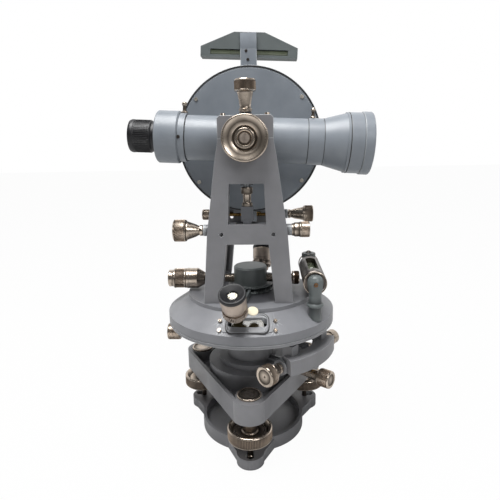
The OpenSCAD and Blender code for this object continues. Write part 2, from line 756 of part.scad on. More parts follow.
// A-shaped standard: a channel with its skin on the outer side and two windows
function leg_half(h) = h < waist_h
  ? foot_half + (mid_half - foot_half) * h / waist_h
  : mid_half + (top_half + 2.3 - mid_half) * (h - waist_h) / (shoulder_h - waist_h);
module standard_outline(inset, low, top) {
  h = [low, waist_h, shoulder_h, trunnion_rise - 2, top];
  w = [leg_half(low), mid_half, top_half + 2.3, top_half, top_half];
  polygon(concat([for (i = [0:4]) [w[i] - inset, h[i]]],
    [for (i = [4:-1:0]) [inset - w[i], h[i]]]));
}
module standard_windows(grow) {
  polygon([[-foot_window_half - grow, -1], [foot_window_half + grow, -1],
    [lower_window_half + grow, bar_low + grow], [-lower_window_half - grow, bar_low + grow]]);
  top = upper_window_half + grow;
  low = upper_window_half + 1.4 + grow;
  polygon([[-low, bar_high - grow], [low, bar_high - grow], [top, upper_window_top + grow],
    [-top, upper_window_top + grow]]);
}
cap_screw_x = top_half - 4.6;
block_h = 16;
bar_mid = (bar_low + bar_high) / 2;
bar_hole_x = 20.7;
bar_hole_r = 1.7;
module standard(depth) {
  translate([0, 0, platform_z]) difference() {
    union() {
      rotate([90, 0, 0]) difference() {
        linear_extrude(depth) difference() {
          standard_outline(0, 0, trunnion_rise);
          standard_windows(0);
        }
        translate([0, 0, -1]) linear_extrude(depth - standard_wall + 1) difference() {
          standard_outline(standard_wall, standard_wall, trunnion_rise - block_h);
          standard_windows(standard_wall);
        }
      }
      for (side = [0, 1]) mirror([side, 0, 0])
        translate([24, -pin_depth(depth), trunnion_rise - tangent_drop])
          along_x() cylinder(r = 4.6, h = boss_out - 24);
    }
    translate([0, -pin_depth(depth), trunnion_rise - tangent_drop]) along_x()
      cylinder(r = pin_r + run_fit, h = 100, center = true);
    for (x = [-bar_hole_x, bar_hole_x]) translate([x, 1, bar_mid]) rotate([90, 0, 0])
      cylinder(r = bar_hole_r, h = depth + 2);
    for (h = [bar_high - 4, upper_window_top - 1])
      block([-tail_room, tail_room], [-depth + standard_wall, 1], [h, h + standard_wall + 2.4]);
    block([standard_wall - top_half, top_half - standard_wall], [bearing_t - depth, 1],
      [shoulder_h - 4, trunnion_rise + 1]);
    translate([0, 1, trunnion_rise]) rotate([90, 0, 0])
      cylinder(r = journal_r + run_fit, h = depth + 2);
  }
}
function pin_depth(depth) = depth - (front_face - tangent_y);
tail_room = tail_half + tangent_travel + 4;
module front_standard() {
  color(grey) translate([0, -front_face + standard_d, 0]) standard(standard_d);
}
module rear_standard() {
  color(grey) translate([0, rear_face - standard_d, 0]) mirror([0, 1, 0]) standard(standard_d);
}
module bearing_cap(depth) {
  translate([0, 0, trunnion_z]) difference() {
    rotate([90, 0, 0]) difference() {
      linear_extrude(depth) polygon([[-top_half, 0], [top_half, 0], [top_half, cap_h - 2],
        [top_half - 2, cap_h], [2 - top_half, cap_h], [-top_half, cap_h - 2]]);
      translate([standard_wall - top_half, -1, -1])
        cube([2 * (top_half - standard_wall), cap_h + 2, depth - bearing_t + 1]);
    }
    translate([0, 1, 0]) rotate([90, 0, 0]) cylinder(r = journal_r + run_fit, h = depth + 2);
  }
}
module bearing_caps() {
  color(grey) translate([0, -front_face + standard_d, 0]) bearing_cap(standard_d);
  color(grey) translate([0, rear_face - standard_d, 0]) mirror([0, 1, 0]) bearing_cap(standard_d);
}

// Plate level: two pillars, a tube between them and its glass vial
level_z = platform_z + plate_level_rise;
level_near = -41.6;
level_far = 22.4;
module plate_level_mount() {
  color(green_grey) difference() {
    union() {
      for (y = [level_near, level_far]) {
        r = sqrt(plate_level_x * plate_level_x + y * y);
        rise = level_z - cone_z(r);
        translate([plate_level_x, y, cone_z(r) - 4])
          turned([[0, 0], [6.4, 0], [6.4, 6.6], [3, 8], [3, rise], [0, rise]]);
      }
      translate([plate_level_x, level_near, level_z]) along_y()
        turned([[0, -3.4], [6.8, -3.4], [7.4, -2.8], [7.4, 2.4], [0, 2.4]]);
      translate([plate_level_x, level_far, level_z]) along_y()
        cylinder(r = 6, h = 4.8, center = true);
      translate([plate_level_x, level_far, level_z]) {
        cylinder(r = 3, h = 11);
        translate([0, 0, 6.4]) head(6.3, 4.2);
      }
    }
    turned([[0, 0], [plate_r, 0], [plate_r, rim_top], [platform_r, cone_top],
      [platform_r, platform_z], [0, platform_z]]);
    translate([plate_level_x, level_near - 1.4, level_z]) along_y() cylinder(r = 4, h = 80);
  }
}
module plate_level_tube() {
  near = level_near + 3;
  far = level_far - 7;
  color(nickel) difference() {
    translate([plate_level_x, 0, level_z]) along_y()
      turned([[0, level_near - 1.4], [4, level_near - 1.4], [4, near], [plate_level_r - 1, near],
        [plate_level_r, near + 1], [plate_level_r, far - 1], [plate_level_r - 1, far], [4, far],
        [4, level_far + 2.4], [0, level_far + 2.4]]);
    translate([plate_level_x, near + 4, level_z]) along_y()
      cylinder(r = plate_vial_r, h = far - near - 8);
    translate([plate_level_x - 4.2, near + 9, level_z]) cube([8.4, far - near - 18, 20]);
  }
}
module plate_level_vial() {
  near = level_near + 7;
  far = level_far - 11;
  color(glass) translate([plate_level_x, 0, level_z]) along_y()
    turned([[0, near], [plate_vial_r - 1, near], [plate_vial_r, near + 1],
      [plate_vial_r, far - 1], [plate_vial_r - 1, far], [0, far]]);
}

// Upper clamp and slow motion: a shoe on the lower plate's rim, held by the alidade's screw
shoe_low = upper_tangent_z - 6.6;
shoe_top = lower_top - 0.2;
shoe_r = plate_r + 3.2;
ear_x = shoe_r + 0.8;
ear_in = 14;
ear_out = 20.4;
upper_pin_end = 33;
module in_upper_set() rotate(upper_az) translate([upper_chord, 0, upper_tangent_z]) children();
module upper_tangent_bracket() {
  color(grey) difference() {
    union() {
      rotate(upper_az) translate([0, 0, upper_z + 0.4])
        sector(plate_r, shoe_r + 2.4, upper_rim_h - 0.8, 15);
      for (ear = [[ear_in, ear_out], [-ear_out, -ear_in]]) rotate(upper_az)
        block([ear_x, upper_chord + 4.6], ear, [upper_tangent_z - 4.6, rim_top - 0.4]);
    }
    in_upper_set() along_y() cylinder(r = pin_r + run_fit, h = 60, center = true);
    translate([0, 0, shoe_low - 10]) cylinder(r = plate_r, h = rim_top - shoe_low + 20);
  }
}
upper_screw_az = upper_az - 36;
module upper_clamp_shoe() {
  color(dark_grey) difference() {
    union() {
      rotate(upper_az - 17) translate([0, 0, shoe_low])
        sector(plate_r - 3, shoe_r, shoe_top - shoe_low, 24);
      rotate(upper_az) block([plate_r + 1, upper_chord + 3], [-tail_half, tail_half],
        [shoe_low, shoe_top]);
      rotate(upper_screw_az) translate([plate_r, 0, upper_tangent_z - 1]) along_x()
        cylinder(r = 5, h = 6.6);
    }
    turned([[0, lower_z - 20], [flat_r, lower_z - 20], [flat_r + 4, lower_z - 1],
      [plate_r + run_fit, lower_top - lower_rim_h - 0.9], [plate_r + run_fit, lower_top + 1],
      [0, lower_top + 1]]);
    rotate(upper_screw_az) translate([plate_r - 5, 0, upper_tangent_z - 1]) along_x()
      cylinder(r = shaft_r + run_fit, h = 20);
  }
}
module upper_clamp_screw() {
  color(nickel) rotate(upper_screw_az) translate([0, 0, upper_tangent_z - 1]) along_x() {
    translate([0, 0, plate_r + 0.5]) cylinder(r = shaft_r, h = 12);
    translate([0, 0, plate_r + 7]) turned([[0, 0], [4, 0], [3.2, 2.4], [4.8, 5], [0, 5]]);
    translate([0, 0, plate_r + 11.6]) head(upper_knob_r, 8);
  }
}
module upper_tangent_knob() {
  color(nickel) in_upper_set() rotate([90, 0, 0])
    turned([[pin_r + run_fit, ear_out + 0.4], [4.2, ear_out + 0.4], [upper_knob_r - 2, 27],
      [upper_knob_r - 2, 28.4], [upper_knob_r, 29.2], [upper_knob_r, 36.6],
      [upper_knob_r - 0.8, 37.4], [0, 37.4], [0, upper_pin_end + 2.6],
      [pin_r + run_fit, upper_pin_end + 2.6]]);
}
module upper_tangent_pins() {
  in_upper_set() along_y() for (side = [0, 180]) color(brass) rotate([0, side, 0])
    turned([[0, tail_half + 0.3], [pin_r - 0.9, tail_half + 0.3], [pin_r, tail_half + 0.9],
      [pin_r, side == 0 ? 26 : upper_pin_end], [0, side == 0 ? 26 : upper_pin_end]]);
}

// Magnifiers on a ring that turns round the boss
barrel_r = 7.4;
collar_t = 13.2;
ring_out = ring_seat_r + 4.4;
arm_z = platform_z + 0.7;
arm_h = 4.4;
window_z = cone_z(circle_r);
module at_magnifiers() {
  for (a = [0, 180]) rotate(a + magnifier_turn) translate([0, -circle_r, window_z])
    rotate([magnifier_lean, 0, 0]) children();
}
module magnifier_carrier() {
  color(green_grey) difference() {
    union() {
      translate([0, 0, arm_z]) cylinder(r = ring_out, h = arm_h);
      for (a = [0, 180]) rotate(a + magnifier_turn)
        block([-3.4, 3.4], [-circle_r - 1, 0], [arm_z, arm_z + arm_h]);
      at_magnifiers() translate([0, 0, collar_t]) cylinder(r = barrel_r + 2.4, h = 4.6);
    }
    at_magnifiers() cylinder(r = barrel_r, h = 60);
    translate([0, 0, arm_z - 1]) cylinder(r = ring_seat_r + run_fit, h = arm_h + 2);
  }
}
module plate_magnifiers() {
  color(green_grey) at_magnifiers()
    turned([[5.6, magnifier_gap], [barrel_r - 0.4, magnifier_gap], [barrel_r, magnifier_gap + 0.6],
      [barrel_r, cup_t + 3], [5.6, cup_t + 3]]);
}
module magnifier_cups() {
  end = magnifier_gap + magnifier_len;
  color(black) at_magnifiers() turned([[barrel_r, cup_t], [cup_r - 1.6, cup_t],
    [cup_r, cup_t + 1.8], [cup_r, end - 0.8], [cup_r - 0.8, end], [cup_r - 2.2, end],
    [cup_r - 3.2, end - 1.6], [cup_r - 3.2, cup_t + 3], [barrel_r, cup_t + 3]]);
}
module magnifier_lenses() {
  z = magnifier_gap + magnifier_len - 3.4;
  color(glass) at_magnifiers()
    turned([[0, z - 2], [cup_r - 3.2, z - 1.4], [cup_r - 3.2, z], [0, z + 1.2]]);
}

// Vertical clamp: a ring on the trunnion with a tail down through the crossbar
module vertical_clamp_arm() {
  front = -clamp_y - vertical_ring_t / 2;
  rear = -clamp_y + vertical_ring_t / 2;
  rod_y = -clamp_y - 1;
  color(dark_grey) difference() {
    union() {
      translate([0, front, trunnion_z]) along_y() cylinder(r = vertical_ring_r, h = vertical_ring_t);
      block([-5, 5], [front, rear], [trunnion_z - 36, trunnion_z + vertical_ring_r + 4.6]);
      translate([0, rod_y, trunnion_z - 39]) cylinder(r = 3.2, h = 4);
      translate([0, rod_y, trunnion_z - 54]) cylinder(r = 2.9, h = 16);
      block([-4.8, 4.8], [front - 2.6, rear - 1.4], [set_z + 7, trunnion_z - 53]);
      block([-tail_half, tail_half], [front - 3.5, rear - 1.4], [set_z - 5, set_z + 8]);
    }
    translate([0, front - 1, trunnion_z]) along_y()
      cylinder(r = seat_r + run_fit, h = vertical_ring_t + 2);
    translate([0, -clamp_y, trunnion_z]) cylinder(r = 2.4 + run_fit, h = 40);
  }
}
module vertical_clamp_screw() {
  color(nickel) translate([0, -clamp_y, trunnion_z])
    turned([[0, seat_r + 0.4], [2.4, seat_r + 0.4], [2.4, vertical_ring_r + 5],
      [4.6, vertical_ring_r + 5], [5.4, clamp_top - 22], [3.6, clamp_top - 20],
      [5.6, clamp_top - 9.4], [clamp_head_r - 0.8, clamp_top - 9.2],
      [clamp_head_r, clamp_top - 8.4], [clamp_head_r, clamp_top - 0.8],
      [clamp_head_r - 0.8, clamp_top], [0, clamp_top]]);
}
module vertical_tangent_knob() {
  translate([0, -tangent_y, set_z]) rotate([0, -90, 0])
    tangent_knob(vertical_knob_r, boss_out + 0.4, vertical_knob_rim, vertical_knob_end);
}
module vertical_tangent_pins() {
  translate([0, -tangent_y, set_z]) along_x() tangent_pins(tail_half);
}
module spring_boxes() {
  translate([0, -tangent_y, set_z]) along_x()
    spring_box(spring_box_r, boss_out, spring_box_end);
  translate([0, clip_y, set_z]) rotate([0, -90, 0])
    spring_box(spring_box_r - 1, boss_out, spring_box_end);
}
module clip_knob() {
  translate([0, clip_y, set_z]) along_x()
    tangent_knob(clip_knob_r, boss_out + 0.4, clip_knob_rim, clip_knob_end);
}
module clip_pins() {
  translate([0, clip_y, set_z]) along_x() tangent_pins(tail_half);
}

// Index frame: the cover's back plate with a post for the level and a tail for the clip
index_y = cover_y + cover_d;
post_top = plate_z - trunnion_z + 7;
module index_frame() {
  color(grey) difference() {
    union() {
      translate([0, index_y, trunnion_z]) along_y() cylinder(r = cover_r, h = index_t);
      block([-post_half, post_half], [index_y, index_y + index_t],
        [trunnion_z + cover_r - 8, trunnion_z + post_top]);
      block([-5, 5], [index_y, index_y + index_t], [set_z - 5.6, trunnion_z - cover_r + 8]);
      block([-tail_half, tail_half], [index_y, clip_y + 2], [set_z - 5.6, set_z + 2]);
    }
    translate([0, index_y - 1, trunnion_z]) along_y()
      cylinder(r = seat_r + run_fit, h = index_t + 2);
  }
}
module circle_cover() {
  bore = hub_rear_r + 1;
  color(grey) translate([0, cover_y, trunnion_z]) along_y()
    turned([[bore, 0], [cover_r - 2.4, 0], [cover_r - 2.4, 0.4], [cover_r - 1.4, 0.4],
      [cover_r - 1.4, 0], [cover_r, 0.6], [cover_r, cover_d],
      [cover_r - cover_wall, cover_d], [cover_r - cover_wall, cover_wall], [bore, cover_wall]]);
}
circle_y = cover_y + 5.2;
module vertical_circle() {
  color(nickel) translate([0, circle_y, trunnion_z]) along_y()
    turned([[seat_r, -2], [13, -2], [13, 0], [vertical_circle_r - 8, 0], [vertical_circle_r - 8, -0.8],
      [vertical_circle_r, -0.8], [vertical_circle_r, 2.2], [vertical_circle_r - 8, 2.2],
      [vertical_circle_r - 8, 1.8], [seat_r, 1.8]]);
}
module vertical_verniers() {
  color(nickel) translate([0, circle_y - 0.8, trunnion_z]) rotate([-90, 0, 0])
    for (a = [0, 180]) rotate(a) sector(vertical_circle_r + 0.3, cover_r - cover_wall, 3, 10);
}

// Altitude level: a long case that rises to a crown, on a pivot screw through the post
case_y = index_y + index_t;
module in_case() translate([0, case_y, plate_z]) rotate([0, level_tilt, 0]) children();
module altitude_level_case() {
  half = level_len / 2;
  color(green_grey) in_case() difference() {
    translate([0, level_d, 0]) rotate([90, 0, 0]) linear_extrude(level_d)
      polygon([[-half, 0], [half, 0], [half, level_end_h], [level_crown_half, level_crown_h],
        [-level_crown_half, level_crown_h], [-half, level_end_h]]);
    translate([-half + 6, 4.4, 4.6]) along_x() cylinder(r = altitude_vial_r, h = level_len - 12);
    block([9 - half, half - 9], [-1, 4.4], [2.2, 7]);
  }
}
module altitude_level_vial() {
  half = level_len / 2 - 6;
  color(glass) in_case() translate([0, 4.4, 4.6]) along_x()
    turned([[0, -half], [altitude_vial_r - 0.8, -half], [altitude_vial_r, 0.8 - half],
      [altitude_vial_r, half - 0.8], [altitude_vial_r - 0.8, half], [0, half]]);
}

// Telescope on its trunnion stubs; lengths run along the sight line from the trunnion axis
hub_rear_r = 14.2;
collar_back = 76.5;
collar_front = 57.2;
step_front = 51.8;
cone_x = objective_len - 39.5;
joint_x = cone_x - 12.7;
ring_x = objective_len - 21;
mount_x = ring_x + 2.4;
lens_x = mount_x + 2.5;
bezel_x = objective_len - 8;
bore_r = tube_r - tube_wall;
cell_r = 11;
module in_telescope() translate([0, 0, trunnion_z]) rotate([0, telescope_tilt, 0]) children();
module tube_outline() {
  along_x() turned([[0, -collar_back], [tel_collar_r - 1, -collar_back],
    [tel_collar_r, 1 - collar_back], [tel_collar_r, -collar_front - 1],
    [tel_collar_r - 1, -collar_front], [tube_r + 1.4, -collar_front], [tube_r + 1.4, -step_front],
    [tube_r, -step_front], [tube_r, joint_x], [tube_r + 0.5, joint_x], [tube_r + 0.5, cone_x],
    [objective_r - 1.6, ring_x], [objective_r - 0.9, ring_x], [objective_r - 0.9, mount_x],
    [0, mount_x]]);
}
module tube_bore() {
  along_x() turned([[0, -collar_back - 1], [cell_r + run_fit, -collar_back - 1],
    [cell_r + run_fit, -collar_front], [bore_r, -collar_front], [bore_r, cone_x + 4],
    [lens_r + 0.6, ring_x], [lens_r + 0.6, mount_x + 1], [0, mount_x + 1]]);
}
module telescope_tube() {
  color(grey) in_telescope() difference() {
    union() {
      tube_outline();
      along_y() turned([[0, -hub_front], [11.4, -hub_front], [13.4, 2 - tube_r], [0, 2 - tube_r]]);
      along_y() turned([[0, tube_r - 2], [hub_rear_r, tube_r - 2], [hub_rear_r, hub_rear],
        [0, hub_rear]]);
    }
    tube_bore();
    for (side = [0, 180]) rotate(side) translate([0, bore_r - 3, 0]) along_y()
      cylinder(r = seat_r, h = 30);
  }
}
shaft_fit_r = 3;
module trunnion_axle() {
  front = front_face - bearing_t;
  color(steel) in_telescope() {
    rotate([90, 0, 0]) turned([[shaft_fit_r + run_fit, bore_r + 0.6], [seat_r, bore_r + 0.6],
      [seat_r, front - 0.3], [journal_r, front - 0.3], [journal_r, front_face - 0.4],
      [shaft_fit_r + run_fit, front_face - 0.4]]);
    along_y() turned([[0, bore_r + 0.6], [seat_r, bore_r + 0.6], [seat_r, case_y + 0.6],
      [journal_r, case_y + 0.6], [journal_r, rear_face - 0.6], [0, rear_face - 0.6]]);
  }
}
module objective_mount() {
  color(grey) in_telescope() along_x() turned([[lens_r - 1, mount_x], [objective_r - 0.8, mount_x],
    [objective_r - 0.8, bezel_x], [objective_r - 0.2, bezel_x], [objective_r, bezel_x + 0.7],
    [objective_r, objective_len - 0.6], [objective_r - 0.6, objective_len],
    [lens_r + 2, objective_len], [lens_r + 0.4, bezel_x + 1.5], [lens_r + 0.4, lens_x],
    [lens_r - 1, lens_x]]);
}
module objective_lens() {
  edge = lens_r + 0.4;
  color(glass) in_telescope() along_x() turned([[0, lens_x], [edge, lens_x], [edge, lens_x + 5.6],
    [0, lens_x + 7.2]]);
}
ring_back = eyepiece_len;
ring_front = collar_back + 0.5;
module eyepiece_ring() {
  color(black) in_telescope() rotate([0, -90, 0])
    turned([[cell_r + run_fit, ring_front], [eyepiece_r - 0.8, ring_front],
      [eyepiece_r, ring_front + 0.8], [eyepiece_r, ring_back - 2.4],
      [eyepiece_r - 1.6, ring_back], [8.4, ring_back], [7.4, ring_back - 1.2],
      [cell_r + run_fit, ring_back - 1.6]]);
}
module eyepiece_cell() {
  color(steel) in_telescope() rotate([0, -90, 0])
    turned([[7, collar_front + 3.2], [cell_r, collar_front + 3.2], [cell_r, ring_back - 5],
      [0, ring_back - 5], [0, ring_back - 8], [7, ring_back - 8]]);
}
module sights() {
  color(nickel) in_telescope() {
    translate([joint_x + 3.7, 0, tube_r + 0.5])
      turned([[0, 0], [2.6, 0], [1.3, 5.4], [1.9, 6.8], [0, 8.6]]);
    translate([-step_front - 2.7, 0, tube_r + 1.4])
      turned([[0, 0], [2.8, 0], [2.8, 1.2], [1.6, 1.8], [2.4, 8.4], [0, 9]]);
  }
}

// Focusing knob, its shaft through the trunnion and the pinion that drives the cell
pinion_r = 4;
pinion_out = 15.6;
module focusing_knob() {
  back = front_face + 0.8;
  face = back + focus_knob_t;
  color(nickel) in_telescope() rotate([90, 0, 0])
    turned([[0, pinion_out - 3], [pinion_r, pinion_out - 3], [pinion_r, pinion_out],
      [shaft_fit_r, pinion_out], [shaft_fit_r, back], [focus_knob_r - 1, back],
      [focus_knob_r, back + 1], [focus_knob_r, face - 1], [focus_knob_r - 1, face],
      [focus_knob_r - 3, face], [focus_knob_r - 5, face - 3.4], [11, face - 3.4],
      [9.4, face - 1.2], [7.6, face - 1.2], [6.4, face - 2.6], [0, face - 2.6]]);
}
module focusing_cell() {
  front = -pinion_r - focus_travel - 2;
  back = front - 26;
  color(brass) in_telescope() {
    along_x() turned([[11.6, back], [bore_r - run_fit, back], [bore_r - run_fit, front],
      [11.6, front], [11.6, back + 8], [0, back + 8.6], [0, back + 4], [11.6, back + 4]]);
    intersection() {
      block([front, focus_travel + 2], [0.4 - pinion_out, 2.8 - pinion_out],
        [pinion_r + 0.3, pinion_r + 4]);
      along_x() cylinder(r = bore_r - run_fit, h = 100, center = true);
    }
  }
}

base_casting();
foot_screw_front();
foot_screw_right();
foot_screw_left();
tribrach();
foot_screw_bushes();
tribrach_lock_screw();
outer_spindle();
lower_plate();
horizontal_circle();
lower_tangent_bracket();
lower_spring_box();
lower_clamp_arm();
lower_clamp_screw();
lower_tangent_knob();
lower_tangent_pins();
inner_spindle();
vernier_plate();
window_frames();
plate_verniers();
alidade_screws();
plummet_housing();
plummet_eyepiece();
front_standard();
rear_standard();
bearing_caps();
plate_level_mount();
plate_level_tube();
plate_level_vial();
upper_tangent_bracket();
upper_clamp_shoe();
upper_clamp_screw();
upper_tangent_knob();
upper_tangent_pins();
magnifier_carrier();
plate_magnifiers();
magnifier_cups();
magnifier_lenses();
vertical_clamp_arm();
vertical_clamp_screw();
vertical_tangent_knob();
vertical_tangent_pins();
spring_boxes();
index_frame();
circle_cover();
vertical_verniers();
altitude_level_case();
altitude_level_vial();
clip_knob();
clip_pins();
trunnion_axle();
vertical_circle();
telescope_tube();
objective_mount();
objective_lens();
eyepiece_ring();
eyepiece_cell();
sights();
focusing_knob();
focusing_cell();
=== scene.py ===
import math
import bmesh
import bpy
from mathutils import Matrix, Vector


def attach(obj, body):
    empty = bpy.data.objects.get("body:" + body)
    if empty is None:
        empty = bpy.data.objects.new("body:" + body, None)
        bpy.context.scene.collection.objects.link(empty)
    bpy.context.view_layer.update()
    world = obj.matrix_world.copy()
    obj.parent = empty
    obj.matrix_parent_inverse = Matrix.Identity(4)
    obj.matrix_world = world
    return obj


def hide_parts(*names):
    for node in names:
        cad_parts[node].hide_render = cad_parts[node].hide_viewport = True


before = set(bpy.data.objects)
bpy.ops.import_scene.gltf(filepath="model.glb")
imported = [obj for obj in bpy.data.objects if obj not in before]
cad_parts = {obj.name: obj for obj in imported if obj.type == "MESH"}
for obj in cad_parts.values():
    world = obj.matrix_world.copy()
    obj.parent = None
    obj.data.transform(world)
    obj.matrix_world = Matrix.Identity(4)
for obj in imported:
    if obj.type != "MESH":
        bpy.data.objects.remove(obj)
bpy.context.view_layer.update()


# Foot plate: a sand-cast dish with three lobes under satin grey enamel. Each lobe has a
# machined keyhole that takes the ball of a foot screw, and the boss in the middle is
# tapped for the tripod's fixing screw.
MM = 0.001  # outlines and places below are in mm
UP, NEAR = (0, 0, 1), (0, -1, 0)
UPRIGHT = ((0, 0, 0), UP)  # the vertical axis that most castings were turned on
TINY = 1e-6


class Wire:
    """A node's output that takes part in sums."""

    def __init__(self, graph, socket):
        self.graph = graph
        self.socket = socket

    def __add__(self, other):
        return self.graph.calc("ADD", self, other)

    def __sub__(self, other):
        return self.graph.calc("SUBTRACT", self, other)

    def __mul__(self, other):
        return self.graph.calc("MULTIPLY", self, other)

    def __truediv__(self, other):
        return self.graph.calc("DIVIDE", self, other)


class Graph:
    """A node tree that is filled one node at a time."""

    def __init__(self, tree):
        self.tree = tree

    def add(self, kind, settings=None, inputs=None, out=0):
        node = self.tree.nodes.new(kind)
        for name, value in (settings or {}).items():
            setattr(node, name, value)
        for name, value in (inputs or {}).items():
            if isinstance(value, Wire):
                self.tree.links.new(value.socket, node.inputs[name])
            else:
                node.inputs[name].default_value = value
        return Wire(self, node.outputs[out])

    def calc(self, operation, first, second=0.0):
        return self.add("ShaderNodeMath", {"operation": operation}, {0: first, 1: second})


def linear(*srgb):
    """Linear colour of an 8-bit screen colour."""
    return tuple((v / 255 / 12.92) if v < 11 else ((v / 255 + 0.055) / 1.055) ** 2.4 for v in srgb) + (1,)


class Finish:
    """A material with a Principled shader whose sockets can be fed."""

    def __init__(self, name, **constants):
        self.material = bpy.data.materials.new(name)
        self.material.use_nodes = True
        self.graph = Graph(self.material.node_tree)
        self.shader = self.material.node_tree.nodes["Principled BSDF"]
        for socket, value in constants.items():
            self.shader.inputs[socket.replace("_", " ")].default_value = value

    def where(self):
        return self.graph.add("ShaderNodeTexCoord", out="Object")

    def noise(self, scale, detail=3, rough=0.55):
        return self.graph.add("ShaderNodeTexNoise", inputs={
            "Vector": self.where(), "Scale": scale, "Detail": detail, "Roughness": rough})

    def mask(self, value, low, high):
        return self.graph.add("ShaderNodeMapRange", {"clamp": True}, {
            "Value": value, "From Min": low, "From Max": high})

    def blend(self, factor, first, second):
        return self.graph.add("ShaderNodeMix", {"data_type": "RGBA"}, {
            0: factor, 6: first, 7: second}, out=2)

    def attribute(self, name):
        return self.graph.add("ShaderNodeAttribute", {"attribute_name": name}, out="Fac")

    def feed(self, socket, wire):
        self.graph.tree.links.new(wire.socket, self.shader.inputs[socket])

    def bump(self, height, depth, strength=1.0):
        self.feed("Normal", self.graph.add("ShaderNodeBump", inputs={
            "Strength": strength, "Distance": depth, "Height": height}))


def enamel(name, srgb, darker=14, wear_and_highlight=0.8, shade_radius=None):
    """Sprayed enamel: faint orange peel, dull patches, small chips; outer edges lightened as rubbed paint
    and painted highlight, inner corners darkened as painted shade.

    Its patches are darker by some steps of 255. Inside the given radius, in mm, it is darkened as painted
    shade.
    """
    colour, shade = linear(*srgb), linear(*(v - darker for v in srgb))
    paint = Finish(name, Coat_Weight=0.12, Coat_Roughness=0.3, Specular_IOR_Level=0.45)
    cloud = paint.noise(38, 4)
    peel = paint.noise(1500, 2)
    fleck = paint.noise(420, 3, 0.7)
    edge = paint.attribute("edge")
    body = paint.blend(paint.mask(cloud, 0.3, 0.72), colour, shade)
    # outer edges and random flecks are lightened: rubbed paint, and along the edges a painted highlight
    worn_and_highlit = paint.mask(edge * wear_and_highlight + fleck * 0.6, 0.68, 0.98)
    body = paint.blend(worn_and_highlit * 0.6, body, linear(178, 182, 184))
    # painted shade: inner corners darkened towards near-black
    body = paint.blend(paint.attribute("grime") * 0.72, body, linear(34, 35, 37))
    # painted shade: the middle of the plate, inside the given radius, is darkened as if shadowed between
    # the standards
    if shade_radius:
        flat = paint.graph.add("ShaderNodeVectorMath", {"operation": "MULTIPLY"},
                               {0: paint.where(), 1: (1, 1, 0)})
        reach = paint.graph.add("ShaderNodeVectorMath", {"operation": "LENGTH"}, {0: flat}, out="Value")
        body = paint.blend(paint.mask(reach, (shade_radius + 4) * MM, shade_radius * MM) * 0.85, body, linear(62, 62, 66))
    chip = paint.mask(fleck + edge * 0.1, 0.8, 0.83)
    body = paint.blend(chip * 0.75, body, linear(84, 84, 82))
    paint.feed("Base Color", body)
    paint.feed("Roughness", paint.mask(cloud, 0, 1) * 0.14 + fleck * 0.12 + 0.25)
    paint.bump(peel + chip * -0.8, 0.00007, 0.7)
    return paint.material


grey_enamel = enamel("grey_enamel", (131, 131, 134))


def even_light(shape, axle):
    """Gives turned faces the normals of their true cones, so that they shine evenly."""
    origin, axis = Vector(axle[0]) * MM, Vector(axle[1]).normalized()
    nearly_flat, nearly_radial = 0.05, math.cos(math.radians(4))
    normals = [Vector(corner.vector) for corner in shape.corner_normals]
    for face in shape.polygons:
        out = face.center - origin
        out -= axis * out.dot(axis)
        rise = face.normal.dot(axis)
        across = face.normal - axis * rise
        if out.length < TINY or across.length < nearly_flat:
            continue
        if abs(across.normalized().dot(out.normalized())) < nearly_radial:
            continue
        side = across.length if across.dot(out) > 0 else -across.length
        for corner in face.loop_indices:
            spoke = shape.vertices[shape.loops[corner].vertex_index].co - origin
            spoke -= axis * spoke.dot(axis)
            if spoke.length > TINY:
                normals[corner] = (spoke.normalized() * side + axis * rise).normalized()
    shape.normals_split_custom_set(normals)


def mark_edges(shape, width):
    """Stores outer corners, which get rubbed paint and painted highlight, and inner corners, which get
    painted shade, as two corner attributes.
    """
    least_turn, clear_bend = 0.15, 0.3
    sides = {}
    for face in shape.polygons:
        for key in face.edge_keys:
            sides.setdefault(key, []).append(face)
    outer_corners = [0.0] * len(shape.loops)
    inner_corners = [0.0] * len(shape.loops)
    for face in shape.polygons:
        spans = [(shape.vertices[a].co - shape.vertices[b].co).length for a, b in face.edge_keys]
        if face.area > max(spans) * width * 0.9:
            continue
        bend = 0.0
        for key in face.edge_keys:
            for other in sides[key]:
                turn = face.normal.angle(other.normal, 0)
                if other is not face and turn > least_turn:
                    bend += turn if (other.center - face.center).dot(face.normal) < 0 else -turn
        for corner in face.loop_indices:
            outer_corners[corner] = float(bend > clear_bend)
            inner_corners[corner] = float(bend < -clear_bend)
    shape.attributes.new("edge", "FLOAT", "CORNER").data.foreach_set("value", outer_corners)
    shape.attributes.new("grime", "FLOAT", "CORNER").data.foreach_set("value", inner_corners)


def evaluated(item):
    """The mesh that an object's modifiers make."""
    return bpy.data.meshes.new_from_object(item.evaluated_get(bpy.context.evaluated_depsgraph_get()))


def placed(name, data):
    """A new object in the scene."""
    item = bpy.data.objects.new(name, data)
    bpy.context.collection.objects.link(item)
    return item


def settled(shape, name):
    """The mesh that a bmesh was built for; the bmesh is freed."""
    mesh = bpy.data.meshes.new(name)
    shape.to_mesh(mesh)
    shape.free()
    return mesh


def declared(piece, body, slot, *nodes):
    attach(piece, body)
    if nodes:
        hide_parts(*nodes)


